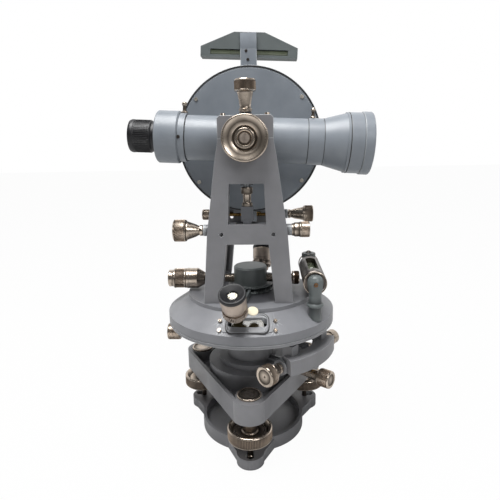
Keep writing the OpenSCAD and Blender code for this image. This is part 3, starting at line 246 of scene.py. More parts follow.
def softened(name, node, width, finish, body, slot, axle=None, second=None):
    """A CAD casting with its sharp edges rounded as casting and paint leave them.

    A turned one has its axle, and a second finish comes with a test of a face's centre.
    """
    one_point, flat = 0.002 * MM, 0.004  # gap between equal points, angle within one surface
    bevel_from, sharp_from = math.radians(28), math.radians(40)
    mesh = bmesh.new()
    mesh.from_mesh(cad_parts[node].data)
    bmesh.ops.remove_doubles(mesh, verts=mesh.verts, dist=one_point)
    bmesh.ops.dissolve_limit(mesh, angle_limit=flat, verts=mesh.verts, edges=mesh.edges)
    piece = placed(name, settled(mesh, name))
    for face in piece.data.polygons:
        face.use_smooth = True
    bevel = piece.modifiers.new("edges", "BEVEL")
    bevel.width = width * MM
    bevel.segments = 2
    bevel.limit_method = "ANGLE"
    bevel.angle_limit = bevel_from
    bevel.use_clamp_overlap = True
    piece.modifiers.new("light", "WEIGHTED_NORMAL").keep_sharp = True
    shape = evaluated(piece)
    piece.modifiers.clear()
    piece.data = shape
    shape.set_sharp_from_angle(angle=sharp_from)
    if axle:
        even_light(shape, axle)
    mark_edges(shape, width * MM)
    shape.materials.clear()
    shape.materials.append(finish)
    if second:
        shape.materials.append(second[0])
        for face in shape.polygons:
            face.material_index = int(second[1](face.center / MM))
    declared(piece, body, slot, node)
    return piece


softened("foot_plate", "base_casting", 0.7, grey_enamel, "base", "grey_paint", UPRIGHT)


# Foot screws: turned brass, nickel plated, with a dished wheel whose rim is knurled.
# The wheel, the stem and the ball that sits in the foot plate are one piece, and
# the stem's thread runs in a bush pressed into the tribrach.
def plated(name, colour, rough, marks=1.0):
    """Turned and plated metal, with tool rings and smears; its hollows are darkened as painted shade and
    made rougher.
    """
    metal = Finish(name, Metallic=1.0)
    rings_per_metre = 5200.0
    smear = metal.noise(90, 4, 0.6)
    fine = metal.noise(1100, 2)
    along = metal.attribute("along")
    rings = metal.graph.add("ShaderNodeTexNoise", {"noise_dimensions": "1D"}, {
        "W": along, "Scale": rings_per_metre, "Detail": 2.0})
    dull = tuple(0.45 * v for v in colour[:3]) + (1,)
    body = metal.blend(metal.mask(smear, 0.42, 0.8), colour, dull)
    grime = metal.attribute("grime")
    # painted shade: hollows darkened towards dark brown
    body = metal.blend(grime * 0.85, body, linear(48, 43, 38))
    metal.feed("Base Color", body)
    metal.feed("Roughness", metal.mask(smear, 0.3, 0.8) * 0.14 + fine * 0.05 + grime * 0.25 + rough)
    metal.bump(rings * marks + fine * 0.35, 0.000016, 0.6)
    return metal.material


nickel = plated("nickel_plate", linear(205, 191, 176), 0.17)
knurled = plated("knurled_nickel", linear(158, 142, 127), 0.42)


def run(tree, **values):
    """The mesh that a node tree grows from named values."""
    host = placed(tree.name, bpy.data.meshes.new(tree.name))
    grow = host.modifiers.new(tree.name, "NODES")
    grow.node_group = tree
    for item in tree.interface.items_tree:
        if item.item_type == "SOCKET" and item.in_out == "INPUT":
            grow[item.identifier] = values[item.name]
    host.update_tag()
    result = evaluated(host)
    host.modifiers.clear()
    bpy.data.objects.remove(host)
    return result


def sized_tree(name, **sockets):
    """A geometry tree with named inputs; returns its graph and a wire for each input."""
    tree = bpy.data.node_groups.new(name, "GeometryNodeTree")
    tree.interface.new_socket("Geometry", in_out="OUTPUT", socket_type="NodeSocketGeometry")
    for label, kind in sockets.items():
        tree.interface.new_socket(label, in_out="INPUT", socket_type="NodeSocket" + kind)
    graph = Graph(tree)
    entry = tree.nodes.new("NodeGroupInput")
    return graph, {label: Wire(graph, entry.outputs[label]) for label in sockets}


def end_tree(graph, shape, material):
    """Realizes the copies, gives them their material and closes the tree."""
    solid = graph.add("GeometryNodeRealizeInstances", inputs={0: shape})
    solid = graph.add("GeometryNodeSetMaterial", inputs={"Geometry": solid, "Material": material})
    exit_node = graph.tree.nodes.new("NodeGroupOutput")
    graph.tree.links.new(solid.socket, exit_node.inputs[0])
    return graph.tree


def knurl_tree():
    """Straight ribs round a turned rim."""
    graph, size = sized_tree("knurl", Ribs="Int", Radius="Float", Height="Float", Width="Float",
                             Length="Float", Base="Float", Material="Material")
    rib = graph.add("GeometryNodeMeshCylinder", {"fill_type": "NGON"}, {
        "Vertices": 4, "Radius": 1.0, "Depth": size["Length"]})
    spread = graph.add("ShaderNodeCombineXYZ", inputs={"X": size["Height"], "Y": size["Width"], "Z": 1.0})
    middle = graph.add("ShaderNodeCombineXYZ", inputs={"Z": size["Base"] + size["Length"] * 0.5})
    rib = graph.add("GeometryNodeTransform", inputs={
        "Geometry": rib, "Scale": spread, "Translation": middle})
    ring = graph.add("GeometryNodeMeshCircle", inputs={"Vertices": size["Ribs"], "Radius": size["Radius"]})
    index = graph.add("GeometryNodeInputIndex")
    angle = graph.add("ShaderNodeCombineXYZ", inputs={"Z": index * (2 * math.pi) / size["Ribs"]})
    copies = graph.add("GeometryNodeInstanceOnPoints", inputs={
        "Points": ring, "Instance": rib, "Rotation": angle})
    return end_tree(graph, copies, size["Material"])


knurl = knurl_tree()


class Piece:
    """A mesh gathered from parts, each with its own material and place."""

    def __init__(self, name):
        self.name = name
        self.mesh = bmesh.new()
        self.along = self.mesh.verts.layers.float.new("along")
        self.grime = self.mesh.verts.layers.float.new("grime")
        self.finishes = []

    def number(self, finish):
        if finish not in self.finishes:
            self.finishes.append(finish)
        return self.finishes.index(finish)

    def add(self, part, finish, at=Matrix.Identity(4)):
        """Takes in a finished mesh in metres."""
        old_faces = len(self.mesh.faces)
        part.transform(at)
        self.mesh.from_mesh(part)
        self.mesh.faces.ensure_lookup_table()
        for face in self.mesh.faces[old_faces:]:
            face.material_index = self.number(finish)
            face.smooth = False
        return self

    def turned(self, outline, finish, at, steps=96, ease=0.25):
        """Spins an outline of (radius, height) in mm round the local Z axis, corners eased."""
        line = eased(outline, ease)
        number = self.number(finish)
        least_hollow = 0.12  # sine of the turn from which a corner is darkened with painted shade
        length = 0.0
        rings = []
        for k, (r, z) in enumerate(line):
            if k:
                length += math.hypot(r - line[k - 1][0], z - line[k - 1][1])
            if r < TINY:
                spots = [(0, 0, z)]
            else:
                spots = [(r * math.cos(2 * math.pi * i / steps), r * math.sin(2 * math.pi * i / steps), z)
                         for i in range(steps)]
            ring = [self.mesh.verts.new(at @ (Vector(spot) * MM)) for spot in spots]
            hollow = 0.0
            if 0 < k < len(line) - 1:
                (r0, z0), (r1, z1) = line[k - 1], line[k + 1]
                inward = (r - r0) * (z1 - z) - (z - z0) * (r1 - r)
                sides = math.hypot(r - r0, z - z0) * math.hypot(r1 - r, z1 - z)
                hollow = float(inward < -least_hollow * sides)
            for vertex in ring:
                vertex[self.along] = length * MM
                vertex[self.grime] = hollow
            rings.append(ring)
        closed = line[0][0] > TINY and line[-1][0] > TINY
        pairs = list(zip(rings, rings[1:])) + ([(rings[-1], rings[0])] if closed else [])
        for low, high in pairs:
            for i in range(steps):
                j = (i + 1) % steps
                corners = [low[i % len(low)], low[j % len(low)], high[j % len(high)], high[i % len(high)]]
                corners = [c for k, c in enumerate(corners) if c not in corners[:k]]
                if len(corners) > 2:
                    face = self.mesh.faces.new(corners)
                    face.smooth = True
                    face.material_index = number
        return self

    def ribbed(self, radius, low, high, finish, at, ribs, height, share=0.8):
        """Knurls a rim between two heights; share is the part of a pitch that a rib fills."""
        width = math.pi * radius / ribs * share
        sunk = 0.45  # part of a rib's height that lies inside the rim
        part = run(knurl, Ribs=ribs, Radius=(radius - height * sunk) * MM, Height=height * MM,
                   Width=width * MM, Length=(high - low) * MM, Base=low * MM, Material=finish)
        return self.add(part, finish, at)

    def done(self, body, slot, *nodes):
        """Makes the object from what was gathered."""
        bmesh.ops.recalc_face_normals(self.mesh, faces=self.mesh.faces)
        shape = settled(self.mesh, self.name)
        shape.set_sharp_from_angle(angle=math.radians(34))
        for finish in self.finishes:
            shape.materials.append(finish)
        declared(placed(self.name, shape), body, slot, *nodes)


def eased(outline, ease):
    """The outline with each sharp corner cut by a small arc."""
    line = []
    nearly_straight, least_cut = 0.15, 0.02
    closed = outline[0][0] > TINY and outline[-1][0] > TINY
    for k, point in enumerate(outline):
        here = Vector(point)
        before = Vector(outline[k - 1]) - here
        after = Vector(outline[(k + 1) % len(outline)]) - here
        at_end = not closed and k in (0, len(outline) - 1)
        if at_end or min(before.length, after.length, here.x) < TINY:
            line.append(point)
            continue
        cut = min(ease, before.length * 0.4, after.length * 0.4)
        if abs(before.angle(after) - math.pi) < nearly_straight or cut < least_cut:
            line.append(point)
            continue
        first = here + before.normalized() * cut
        last = here + after.normalized() * cut
        middle = (first + last + here * 2) / 4
        line += [tuple(first), tuple(middle), tuple(last)]
    return line


def seat(origin, axis):
    """Matrix that puts the local Z axis on a line; origin in mm."""
    turn = Vector(axis).normalized().to_track_quat("Z", "Y").to_matrix().to_4x4()
    return Matrix.Translation(Vector(origin) * MM) @ turn


def around(radius, turn, height=0.0):
    """The point at a radius, a direction in degrees and a height."""
    return (radius * math.cos(math.radians(turn)), radius * math.sin(math.radians(turn)), height)


def spun(name, body, slot, finish, at, outline, *nodes, rim=None, grip=None, steps=96, ease=0.25):
    """One turned piece; rim is its knurl's radius, two ends, count of ribs and their height."""
    piece = Piece(name)
    piece.turned(outline, finish, at, steps, ease)
    if rim:
        radius, low, high, ribs, height = rim
        piece.ribbed(radius, low, high, grip or knurled, at, ribs, height)
    piece.done(body, slot, *nodes)


foot_dirs = {"front": -90, "right": 30, "left": 150}
foot_circle = 59.0
ball_radius, ball_height = 3.1, 4.65
for side, turn in foot_dirs.items():
    at = seat(around(foot_circle, turn), UP)
    ball = [(ball_radius * math.sin(math.radians(a)), ball_height - ball_radius * math.cos(math.radians(a)))
            for a in range(0, 130, 12)]
    body = "foot_screw_" + side
    spun(body + "_turned", body, "nickel", nickel, at, [(0, ball[0][1])] + ball[1:] + [
        (2.3, 6.6), (2.3, 14.7), (5.2, 15.3), (7.2, 16.9), (7.2, 22.7), (12.4, 22.7), (13, 23.3),
        (15.6, 23.3), (17.7, 22.7), (18.5, 23.6), (18.1, 24.3), (18.1, 31.1), (18.5, 31.8), (17.7, 32.7),
        (16.3, 32.7), (14.4, 28.8), (12.6, 28.4), (7.4, 28.5), (6.9, 29.6), (5.7, 30.2), (5.7, 38.8),
        (4.7, 38.8), (4.7, 53.4), (3.9, 54.2), (0, 54.2)], body, rim=(18.1, 24.4, 31.0, 88, 0.55))


# Bushes in the tribrach's corners: nickel-plated brass, pressed in and threaded inside.
# Each is closed by a low cap whose rim stands a little above the casting.
bushes = Piece("foot_bushes_turned")
for turn in foot_dirs.values():
    at = seat(around(foot_circle, turn), UP)
    bushes.turned([
        (4.55, 41.8), (8.8, 41.8), (8.8, 59.7), (9.9, 59.7), (10.2, 60.1), (10.1, 61.2), (9.6, 61.6),
        (8.9, 61.5), (8.5, 61.0), (4.0, 60.9), (0, 60.9), (0, 60.2), (6.8, 60.0), (6.8, 55.4),
        (4.55, 55.2)], nickel, at)
bushes.done("tribrach", "nickel", "foot_screw_bushes")


# Tribrach: a casting like a dished triangle, enamelled grey, with a turned turret. The
# fixed collar above is what the lower clamp grips, and a plated screw through the side
# locks the centre in place.
softened("tribrach_casting", "tribrach", 0.7, grey_enamel, "tribrach", "grey_paint", UPRIGHT)


def radial(turn, height):
    """Place whose local Z axis points outwards at that direction and height."""
    return seat((0, 0, height), around(1, turn))


spun("tribrach_lock_turned", "tribrach_lock_screw", "nickel", nickel, radial(-36, 67.6), [
    (0, 16.5), (2.6, 16.5), (2.6, 40.1), (4.4, 40.1), (4.4, 45.6), (3.9, 46.4), (3.9, 47.4), (3.1, 49.1),
    (3.4, 55), (4.4, 68), (4.6, 72.0), (6.6, 72.0), (7.2, 72.6), (7.0, 73.2), (7.0, 81.4), (7.3, 82),
    (6.7, 82.8), (5.2, 82.8), (4.6, 82.3), (0, 82.3)], "tribrach_lock_screw",
    rim=(7.0, 73.2, 81.4, 46, 0.6))


# Lower plate: the steel spindle that turns in the tribrach, the turned plate with its
# drum, and the silvered circle on top with divisions to half a degree.
steel = plated("turned_steel", linear(176, 178, 180), 0.24, 1.6)
for node, body in (("outer_spindle", "lower_plate"), ("inner_spindle", "alidade")):
    softened(node + "_steel", node, 0.3, steel, body, "steel")
softened("lower_plate_turned", "lower_plate", 0.4, grey_enamel, "lower_plate", "grey_paint", UPRIGHT)


def dial_silver():
    """Silvered brass with a fine grain and a little tarnish."""
    metal = Finish("dial_silver", Metallic=0.55)
    cloud = metal.noise(60, 4)
    fine = metal.noise(900, 3)
    tarnish = metal.mask(cloud, 0.35, 0.8)
    metal.feed("Base Color", metal.blend(tarnish, linear(226, 224, 214), linear(196, 188, 168)))
    metal.feed("Roughness", metal.mask(cloud, 0, 1) * 0.12 + 0.32)
    metal.bump(fine, 0.00001)
    return metal.material


def clouded(name, scale, detail, first, second, spread, rough, **constants):
    """A finish whose colour and gloss drift together in soft clouds."""
    finish = Finish(name, **constants)
    cloud = finish.noise(scale, detail)
    finish.feed("Base Color", finish.blend(cloud, first, second))
    finish.feed("Roughness", cloud * spread + rough)
    return finish.material


silvered = dial_silver()
filling = clouded("line_filling", 400, 2, linear(22, 22, 24), linear(40, 38, 36), 0.2, 0.4)


def division_tree():
    """Radial lines round a scale, longer at every fifth and tenth."""
    graph, size = sized_tree("divisions", Count="Int", Radius="Float", Line="Float", Width="Float",
                             Step="Float", Start="Float", Inward="Float", Material="Material")
    thickness = 0.04 * MM
    index = graph.add("GeometryNodeInputIndex")
    points = graph.add("GeometryNodeMeshLine", inputs={"Count": size["Count"], "Offset": (0, 0, 0)})
    fifth = graph.calc("COMPARE", graph.calc("MODULO", index, 5.0))
    tenth = graph.calc("COMPARE", graph.calc("MODULO", index, 10.0))
    length = size["Line"] * (fifth * 0.45 + tenth * 0.45 + 1.0)
    angle = index * size["Step"] + size["Start"]
    reach = size["Radius"] - length * 0.5 * size["Inward"]
    spot = graph.add("ShaderNodeCombineXYZ", inputs={
        "X": reach * graph.calc("COSINE", angle), "Y": reach * graph.calc("SINE", angle)})
    turn = graph.add("ShaderNodeCombineXYZ", inputs={"Z": angle})
    spread = graph.add("ShaderNodeCombineXYZ", inputs={"X": length, "Y": size["Width"], "Z": thickness})
    bar = graph.add("GeometryNodeMeshCube", inputs={"Size": (1, 1, 1)})
    copies = graph.add("GeometryNodeInstanceOnPoints", inputs={
        "Points": graph.add("GeometryNodeSetPosition", inputs={"Geometry": points, "Position": spot}),
        "Instance": bar, "Rotation": turn, "Scale": spread})
    return end_tree(graph, copies, size["Material"])


divisions = division_tree()


def scale_part(count, radius, line, step, start, inward=1.0):
    """Divisions as one mesh in the local XY plane; steps and start in degrees."""
    return run(divisions, Count=count, Radius=radius * MM, Line=line * MM, Width=0.13 * MM,
               Step=math.radians(step), Start=math.radians(start), Inward=inward, Material=filling)


def figure(text, height, at, piece):
    """A plain number cut in a scale."""
    curve = bpy.data.curves.new("figure", "FONT")
    curve.body = text
    curve.size = height * MM
    curve.align_x = "CENTER"
    curve.align_y = "CENTER"
    curve.resolution_u = 3
    host = placed("figure", curve)
    shape = evaluated(host)
    bpy.data.objects.remove(host)
    piece.add(shape, filling, at)


softened("horizontal_circle_silvered", "horizontal_circle", 0.2, silvered, "lower_plate", "silvered")
circle_top = 113.64
half_degree = 0.5
level = Matrix.Translation((0, 0, circle_top * MM))
circle_lines = Piece("horizontal_circle_lines")
circle_lines.add(scale_part(720, 63.2, 1.5, half_degree, 0), filling, level)
for turn in range(0, 360, 10):
    figure(str(turn), 1.9, Matrix.Translation(Vector(around(59.2, turn, circle_top)) * MM)
           @ Matrix.Rotation(math.radians(turn + 90), 4, "Z"), circle_lines)
circle_lines.done("lower_plate", "silvered")


# Lower slow motion: a crescent bracket cast under the plate carries a tangent screw and
# a spring box; the dark clamp ring round the collar has a tail held between their tips.
dark_enamel = enamel("dark_enamel", (92, 94, 98), 12)
brass = plated("turned_brass", linear(196, 160, 96), 0.2)
softened("lower_bracket", "lower_tangent_bracket", 0.5, grey_enamel, "lower_plate", "grey_paint", UPRIGHT)
softened("lower_clamp_ring", "lower_clamp_arm", 0.5, dark_enamel, "lower_clamp_arm", "dark_paint")
lower_low = around(57, -39, 84.2)
lower_way = around(1, 51)


def thread_tree():
    """A screw thread: a small ridge along a helix."""
    graph, size = sized_tree("thread", Radius="Float", Length="Float", Turns="Float", Ridge="Float",
                             Base="Float", Material="Material")
    line = graph.add("GeometryNodeCurveSpiral", inputs={
        "Resolution": 20, "Rotations": size["Turns"], "Start Radius": size["Radius"],
        "End Radius": size["Radius"], "Height": size["Length"]})
    ridge = graph.add("GeometryNodeCurvePrimitiveCircle", inputs={"Resolution": 4, "Radius": size["Ridge"]})
    body = graph.add("GeometryNodeCurveToMesh", inputs={
        "Curve": line, "Profile Curve": ridge, "Fill Caps": True})
    lift = graph.add("ShaderNodeCombineXYZ", inputs={"Z": size["Base"]})
    body = graph.add("GeometryNodeTransform", inputs={"Geometry": body, "Translation": lift})
    return end_tree(graph, body, size["Material"])


thread = thread_tree()


def pins(label, at, tip_near=44, tip_far=44):
    """The tangent screw's threaded spindle and the spring's plunger, tips on the tail."""
    piece = Piece(label + "_spindle")
    half, pitch = 3.2, 0.5  # half the tail's thickness, and the thread's pitch
    for side, end in ((0, tip_near), (180, tip_far)):
        way = at @ Matrix.Rotation(math.radians(side), 4, "X")
        piece.turned([
            (0, half + 0.3), (1.2, half + 0.3), (2.1, half + 0.9), (2.1, half + 2.4), (1.86, half + 2.6),
            (1.86, end), (0, end)], brass, way, steps=40, ease=0.1)
        span = end - half - 3.2
        piece.add(run(thread, Radius=1.88 * MM, Length=span * MM, Turns=span / pitch, Ridge=0.2 * MM,
                      Base=(half + 3.0) * MM, Material=brass), brass, way)
    piece.done(label + "_pins", "brass", label + "_pins")


def tangent_head(label, at, radius, start, rim, end, bore_end=47.5, ribs=52):
    """A plated sleeve with a ball, a fluted cone and a knurled rim."""
    neck = start + (rim - start) * 0.42
    body = label + "_knob"
    spun(label + "_turned", body, "nickel", nickel, at, [
        (2.15, start), (4.2, start), (4.4, start + 0.5), (4.4, start + 2.2), (3.7, start + 2.8),
        (3.9, start + 3.5), (5.0, neck), (radius - 2.1, rim - 1.8), (radius - 1.7, rim - 0.9),
        (radius - 2.0, rim), (radius - 0.9, rim), (radius - 0.3, rim + 0.7), (radius - 0.6, rim + 1.3),
        (radius - 0.6, end - 1.3), (radius - 0.2, end - 0.7), (radius - 0.9, end), (radius - 2.4, end),
        (radius - 3.0, end - 0.5), (1.0, end - 0.5), (0.7, end - 0.9), (0, end - 0.9), (0, bore_end),
        (2.15, bore_end)], body, rim=(radius - 0.6, rim + 1.3, end - 1.3, ribs, 0.55))


tangent_head("lower_tangent", seat(lower_low, -Vector(lower_way)), 8.6, 31.4, 42, 50.4)
pins("lower_tangent", seat(lower_low, lower_way))
softened("lower_spring_barrel", "lower_spring_box", 0.3, nickel, "lower_plate", "nickel")
spun("lower_clamp_turned", "lower_clamp_screw", "nickel", nickel, radial(180, 89.8), [
    (0, 22.4), (2.6, 22.4), (2.6, 38.4), (4.2, 38.4), (4.2, 43.6), (3.7, 44.2), (3.2, 46.4), (3.5, 52),
    (4.8, 64), (5.0, 65.7), (6.8, 65.7), (7.4, 66.3), (7.1, 66.9), (7.1, 76.2), (7.4, 76.8), (6.8, 77.4),
    (5.2, 77.4), (4.8, 77.0), (0, 77.0)], "lower_clamp_screw", rim=(7.1, 66.9, 76.2, 48, 0.5))


# Vernier plate: a turned and enamelled cover over the circle, with a coned shoulder. Two
# framed and glazed slots in the cone show the silvered verniers against the circle's
# edge; slotted screws hold the frames and the bearing caps.
green_enamel = enamel("green_enamel", (104, 110, 110), 12)
# the plate's middle is darkened as painted shade
plate_enamel = enamel("plate_enamel", (131, 132, 136), shade_radius=39)
# the frames' edges are lightened more, as painted highlight
frame_enamel = enamel("frame_enamel", (134, 135, 138), wear_and_highlight=1.3)
softened("vernier_plate_turned", "vernier_plate", 0.5, plate_enamel, "alidade", "grey_paint", UPRIGHT)
softened("window_frames_cast", "window_frames", 0.4, frame_enamel, "alidade", "green_paint", UPRIGHT)
softened("plate_verniers_silvered", "plate_verniers", 0.1, silvered, "alidade", "silvered")
vernier_step, vernier_half = 0.4833, 7.25  # 30 parts on 29 half degrees
vernier_lines = Piece("plate_vernier_lines")
for turn in (-90, 90):
    vernier_lines.add(scale_part(31, 64.0, 1.5, vernier_step, turn - vernier_half, -1.0), filling, level)
vernier_lines.done("alidade", "silvered")


def slotted_head(radius, height):
    """The head of a cheese-head screw with a slot across it."""
    half_slot = radius * 0.16 * MM
    shape = bmesh.new()
    made = bmesh.ops.create_cone(shape, cap_ends=True, segments=28, radius1=radius * MM,
                                 radius2=radius * 0.86 * MM, depth=height * MM)
    bmesh.ops.translate(shape, verts=made["verts"], vec=(0, 0, height * MM / 2))
    for y in (half_slot, -half_slot):
        bmesh.ops.bisect_plane(shape, geom=shape.verts[:] + shape.edges[:] + shape.faces[:],
                               plane_co=(0, y, 0), plane_no=(0, 1, 0))
    top = [f for f in shape.faces if f.normal.z > 0.9 and abs(f.calc_center_median().y) < half_slot / 2]
    sunk = bmesh.ops.extrude_face_region(shape, geom=top)
    bmesh.ops.translate(shape, verts=[v for v in sunk["geom"] if isinstance(v, bmesh.types.BMVert)],
                        vec=(0, 0, -height * 0.5 * MM))
    bmesh.ops.delete(shape, geom=top, context="FACES")
    bmesh.ops.recalc_face_normals(shape, faces=shape.faces)
    return placed("slotted_head", settled(shape, "slotted_head"))


def screw_tree():
    """One screw head on each point, set along its stored direction and turned at random."""
    graph, size = sized_tree("screws", Points="Object", Head="Object", Seed="Int", Material="Material")
    spots, head = (graph.add("GeometryNodeObjectInfo", {"transform_space": "ORIGINAL"},
                             {"Object": size[label]}, out="Geometry") for label in ("Points", "Head"))
    way = graph.add("GeometryNodeInputNamedAttribute", {"data_type": "FLOAT_VECTOR"}, {"Name": "way"})
    lean = graph.add("FunctionNodeAlignRotationToVector", {"axis": "Z"}, {"Vector": way})
    spin = graph.add("FunctionNodeRandomValue", {"data_type": "FLOAT"}, {"Seed": size["Seed"]}, out=1)
    turn = graph.add("FunctionNodeAxisAngleToRotation", inputs={"Axis": UP, "Angle": spin * (2 * math.pi)})
    turned = graph.add("FunctionNodeRotateRotation", {"rotation_space": "LOCAL"}, {
        "Rotation": lean, "Rotate By": turn})
    copies = graph.add("GeometryNodeInstanceOnPoints", inputs={
        "Points": spots, "Instance": head, "Rotation": turned})
    return end_tree(graph, copies, size["Material"])


screws = screw_tree()


def fasten(name, spots, radius, height, finish, body, slot, *nodes, seed=7):
    """Slotted screws at (place in mm, direction) pairs."""
    marks = bpy.data.meshes.new("spots")
    marks.from_pydata([tuple(Vector(place) * MM) for place, way in spots], [], [])
    marks.attributes.new("way", "FLOAT_VECTOR", "POINT").data.foreach_set(
        "vector", [c for place, way in spots for c in Vector(way).normalized()])
    held = placed("spots", marks)
    head = slotted_head(radius, height)
    part = run(screws, Points=held, Head=head, Seed=seed, Material=finish)
    for helper in (held, head):
        bpy.data.objects.remove(helper)
    Piece(name).add(part, finish).done(body, slot, *nodes)


cone_foot, cone_low = 73.7, 115.9  # radius and height where the plate's cone begins
cone_slope = (128 - cone_low) / (cone_foot - 55.5)


def cone_height(radius):
    return cone_low + (cone_foot - radius) * cone_slope


def on_cone(x, y, lift=0.0):
    """Point and outward direction on the vernier plate's cone, in mm."""
    r = math.hypot(x, y)
    way = Vector((x / r * cone_slope, y / r * cone_slope, 1)).normalized()
    return Vector((x, y, cone_height(r))) + way * lift, way


def window_path(half, near, far, corner):
    """Rounded rectangle in plan around one window, as (x, distance from the axis) points."""
    steps = 8
    path = []
    for x, y, start in ((half, far, 0), (-half, far, 90), (-half, near, 180), (half, near, 270)):
        sx, sy = (1 if x > 0 else -1), (1 if y == far else -1)
        for k in range(steps + 1):
            a = math.radians(start + 90 * k / steps)
            path.append((x - sx * corner + corner * math.cos(a), y - sy * corner + corner * math.sin(a)))
    return path


def bead(piece, path, side, radius, finish):
    """Lays a round bead along a closed path on the cone, in front or behind."""
    lift, around_bead = 0.95, 10
    rings = []
    for k, (x, y) in enumerate(path):
        (x0, y0), (x1, y1) = path[k - 1], path[(k + 1) % len(path)]
        spot, way = on_cone(x, side * y, lift)
        along = on_cone(x1, side * y1)[0] - on_cone(x0, side * y0)[0]
        across = along.normalized().cross(way).normalized()
        turns = (2 * math.pi * j / around_bead for j in range(around_bead))
        rings.append([piece.mesh.verts.new(
            (spot + (across * math.cos(a) + way * math.sin(a)) * radius) * MM) for a in turns])
    number = piece.number(finish)
    for ring, following in zip(rings, rings[1:] + rings[:1]):
        for j in range(around_bead):
            k = (j + 1) % around_bead
            face = piece.mesh.faces.new((ring[j], ring[k], following[k], following[j]))
            face.smooth = True
            face.material_index = number


def amber_glass():
    """Dusty window glass with a warm cast over the verniers."""
    pane = Finish("window_glass", Transmission_Weight=0.55, IOR=1.5)
    dust = pane.noise(220, 4, 0.7)
    pane.feed("Base Color", pane.blend(pane.mask(dust, 0.3, 0.8), linear(74, 62, 38), linear(92, 88, 58)))
    pane.feed("Roughness", dust * 0.15 + 0.06)
    return pane.material


beads_and_shade_lines = Piece("window_mouldings")
panes = Piece("window_panes")
amber = amber_glass()
pane_depth, pane_thickness = 0.5, 0.8
for side in (-1, 1):
    bead(beads_and_shade_lines, window_path(15.6, 56.2, 70.0, 4.2), side, 0.75, frame_enamel)
    # the thin dark bead just outside each frame is a painted shadow line
    bead(beads_and_shade_lines, window_path(16.6, 55.4, 70.8, 4.8), side, 0.32, filling)
    edge = [on_cone(x, side * y, -pane_depth) for x, y in window_path(12.6, 59.2, 67.6, 3.9)]
    low = [panes.mesh.verts.new((spot - way * pane_thickness) * MM) for spot, way in edge]
    high = [panes.mesh.verts.new(spot * MM) for spot, way in edge]
    panes.number(amber)
    panes.mesh.faces.new(low)
    panes.mesh.faces.new(list(reversed(high)))
    for k in range(len(low)):
        panes.mesh.faces.new((low[k], low[k - 1], high[k - 1], high[k]))
beads_and_shade_lines.done("alidade", "green_paint")
panes.done("alidade", "glass")
window_spots = [on_cone(x, y, 0.9) for x in (-21.4, 21.4) for y in (-67, -59.4, 59.4, 67)]
cap_top = 280.6
cap_spots = [((x, y, cap_top), UP) for x in (-17, 17) for y in (-38.1, 56.4)]
fasten("window_and_cap_screws", window_spots, 1.7, 1.0, nickel, "alidade", "nickel", seed=3)
fasten("bearing_cap_screws", cap_spots, 2.1, 1.6, nickel, "alidade", "nickel", "alidade_screws", seed=5)


# Optical plummet: a round painted boss on the axis with a plated cross tube. The knurled
# eyepiece on the left is plated too; the plug at the right end is browned brass.
boss_radius = 16.5
softened("plummet_body", "plummet_housing", 0.35, green_enamel, "alidade", "green_paint", UPRIGHT,
         second=(nickel, lambda spot: math.hypot(spot.x, spot.y) > boss_radius))
plummet_height = 141.2
at = seat((0, 0, plummet_height), (-1, 0, 0))
spun("plummet_eyepiece_turned", "plummet_eyepiece", "nickel", nickel, at, [
    (4.85, 57.8), (8.4, 57.8), (8.9, 58.3), (8.9, 59.2), (8.3, 59.8), (8.3, 67.2), (8.9, 67.8),
    (8.9, 68.8), (8.4, 69.3), (7.6, 69.3), (7.4, 70.2), (7.6, 71), (7.6, 73.4), (7.1, 74), (4.4, 74),
    (3.6, 71), (3.6, 66), (4.85, 66)], "plummet_eyepiece", rim=(8.3, 59.8, 67.2, 56, 0.6))
spun("plummet_sleeve", "alidade", "green_paint", nickel, at, [
    (8.95, 47.2), (9.15, 47.6), (9.15, 48.6), (8.6, 49.0), (8.6, 54.6), (9.15, 55.0), (9.2, 57.0),
    (8.9, 57.4)], rim=(8.6, 49.0, 54.6, 60, 0.5), ease=0.1)
browned = plated("browned_brass", linear(138, 104, 76), 0.28)
spun("plummet_plug", "alidade", "green_paint", browned, seat((0, 0, plummet_height), (1, 0, 0)), [
    (0, 43.85), (4.6, 43.85), (5.92, 42.95), (5.92, 39.2), (5.6, 38.6), (5.4, 37.9)], ease=0.1)


# Standards: two cast aluminium A-frames with windows, enamelled grey and screwed down on
# the plate. Their caps are screwed down over the trunnion's journals.
for side in ("front", "rear"):
    softened(side + "_standard_cast", side + "_standard", 0.8, grey_enamel, "alidade", "grey_paint")
softened("bearing_caps_cast", "bearing_caps", 0.6, grey_enamel, "alidade", "grey_paint")


# Plate level: a plated tube with a slot over its glass vial. A screw pins it to a cast
# pillar at the near end, and a capstan screw carries its far end.
def ground_glass():
    """Glass with faint dust and wiping marks."""
    pane = Finish("vial_glass", Base_Color=(0.93, 0.98, 0.95, 1), Transmission_Weight=1.0, IOR=1.48)
    dust = pane.noise(260, 5, 0.7)
    pane.feed("Roughness", pane.mask(dust, 0.45, 0.9) * 0.12 + 0.02)
    pane.bump(pane.noise(120, 2), 0.00001)
    return pane.material


vial_glass = ground_glass()
level_x, level_height = 54, 148.2
level_axle = ((level_x, 0, level_height), (0, 1, 0))
level_line = seat(*level_axle)
pillars = softened("plate_level_pillars", "plate_level_mount", 0.4, green_enamel, "alidade", "green_paint")
trimmed = bmesh.new()  # without the near pillar, which is turned anew below
trimmed.from_mesh(pillars.data)
bmesh.ops.delete(trimmed, geom=[v for v in trimmed.verts if v.co.y < 0], context="VERTS")
trimmed.to_mesh(pillars.data)
trimmed.free()
spun("plate_level_near_pillar", "alidade", "green_paint", green_enamel, seat((level_x, -41.6, 0), UP), [
    (0, 117.4), (5.4, 117.4), (5.2, 128.6), (6.9, 129.4), (7.1, 130.4), (6.9, 131.6), (5.3, 132.2),
    (5.0, 138.0), (5.6, 142.4), (6.3, 145.4), (6.6, 148.4), (6.3, 151.2), (5.2, 153.6), (3.4, 155.0),
    (0, 155.6)], steps=72)
dark_nickel = plated("darkened_nickel", linear(112, 105, 100), 0.24)
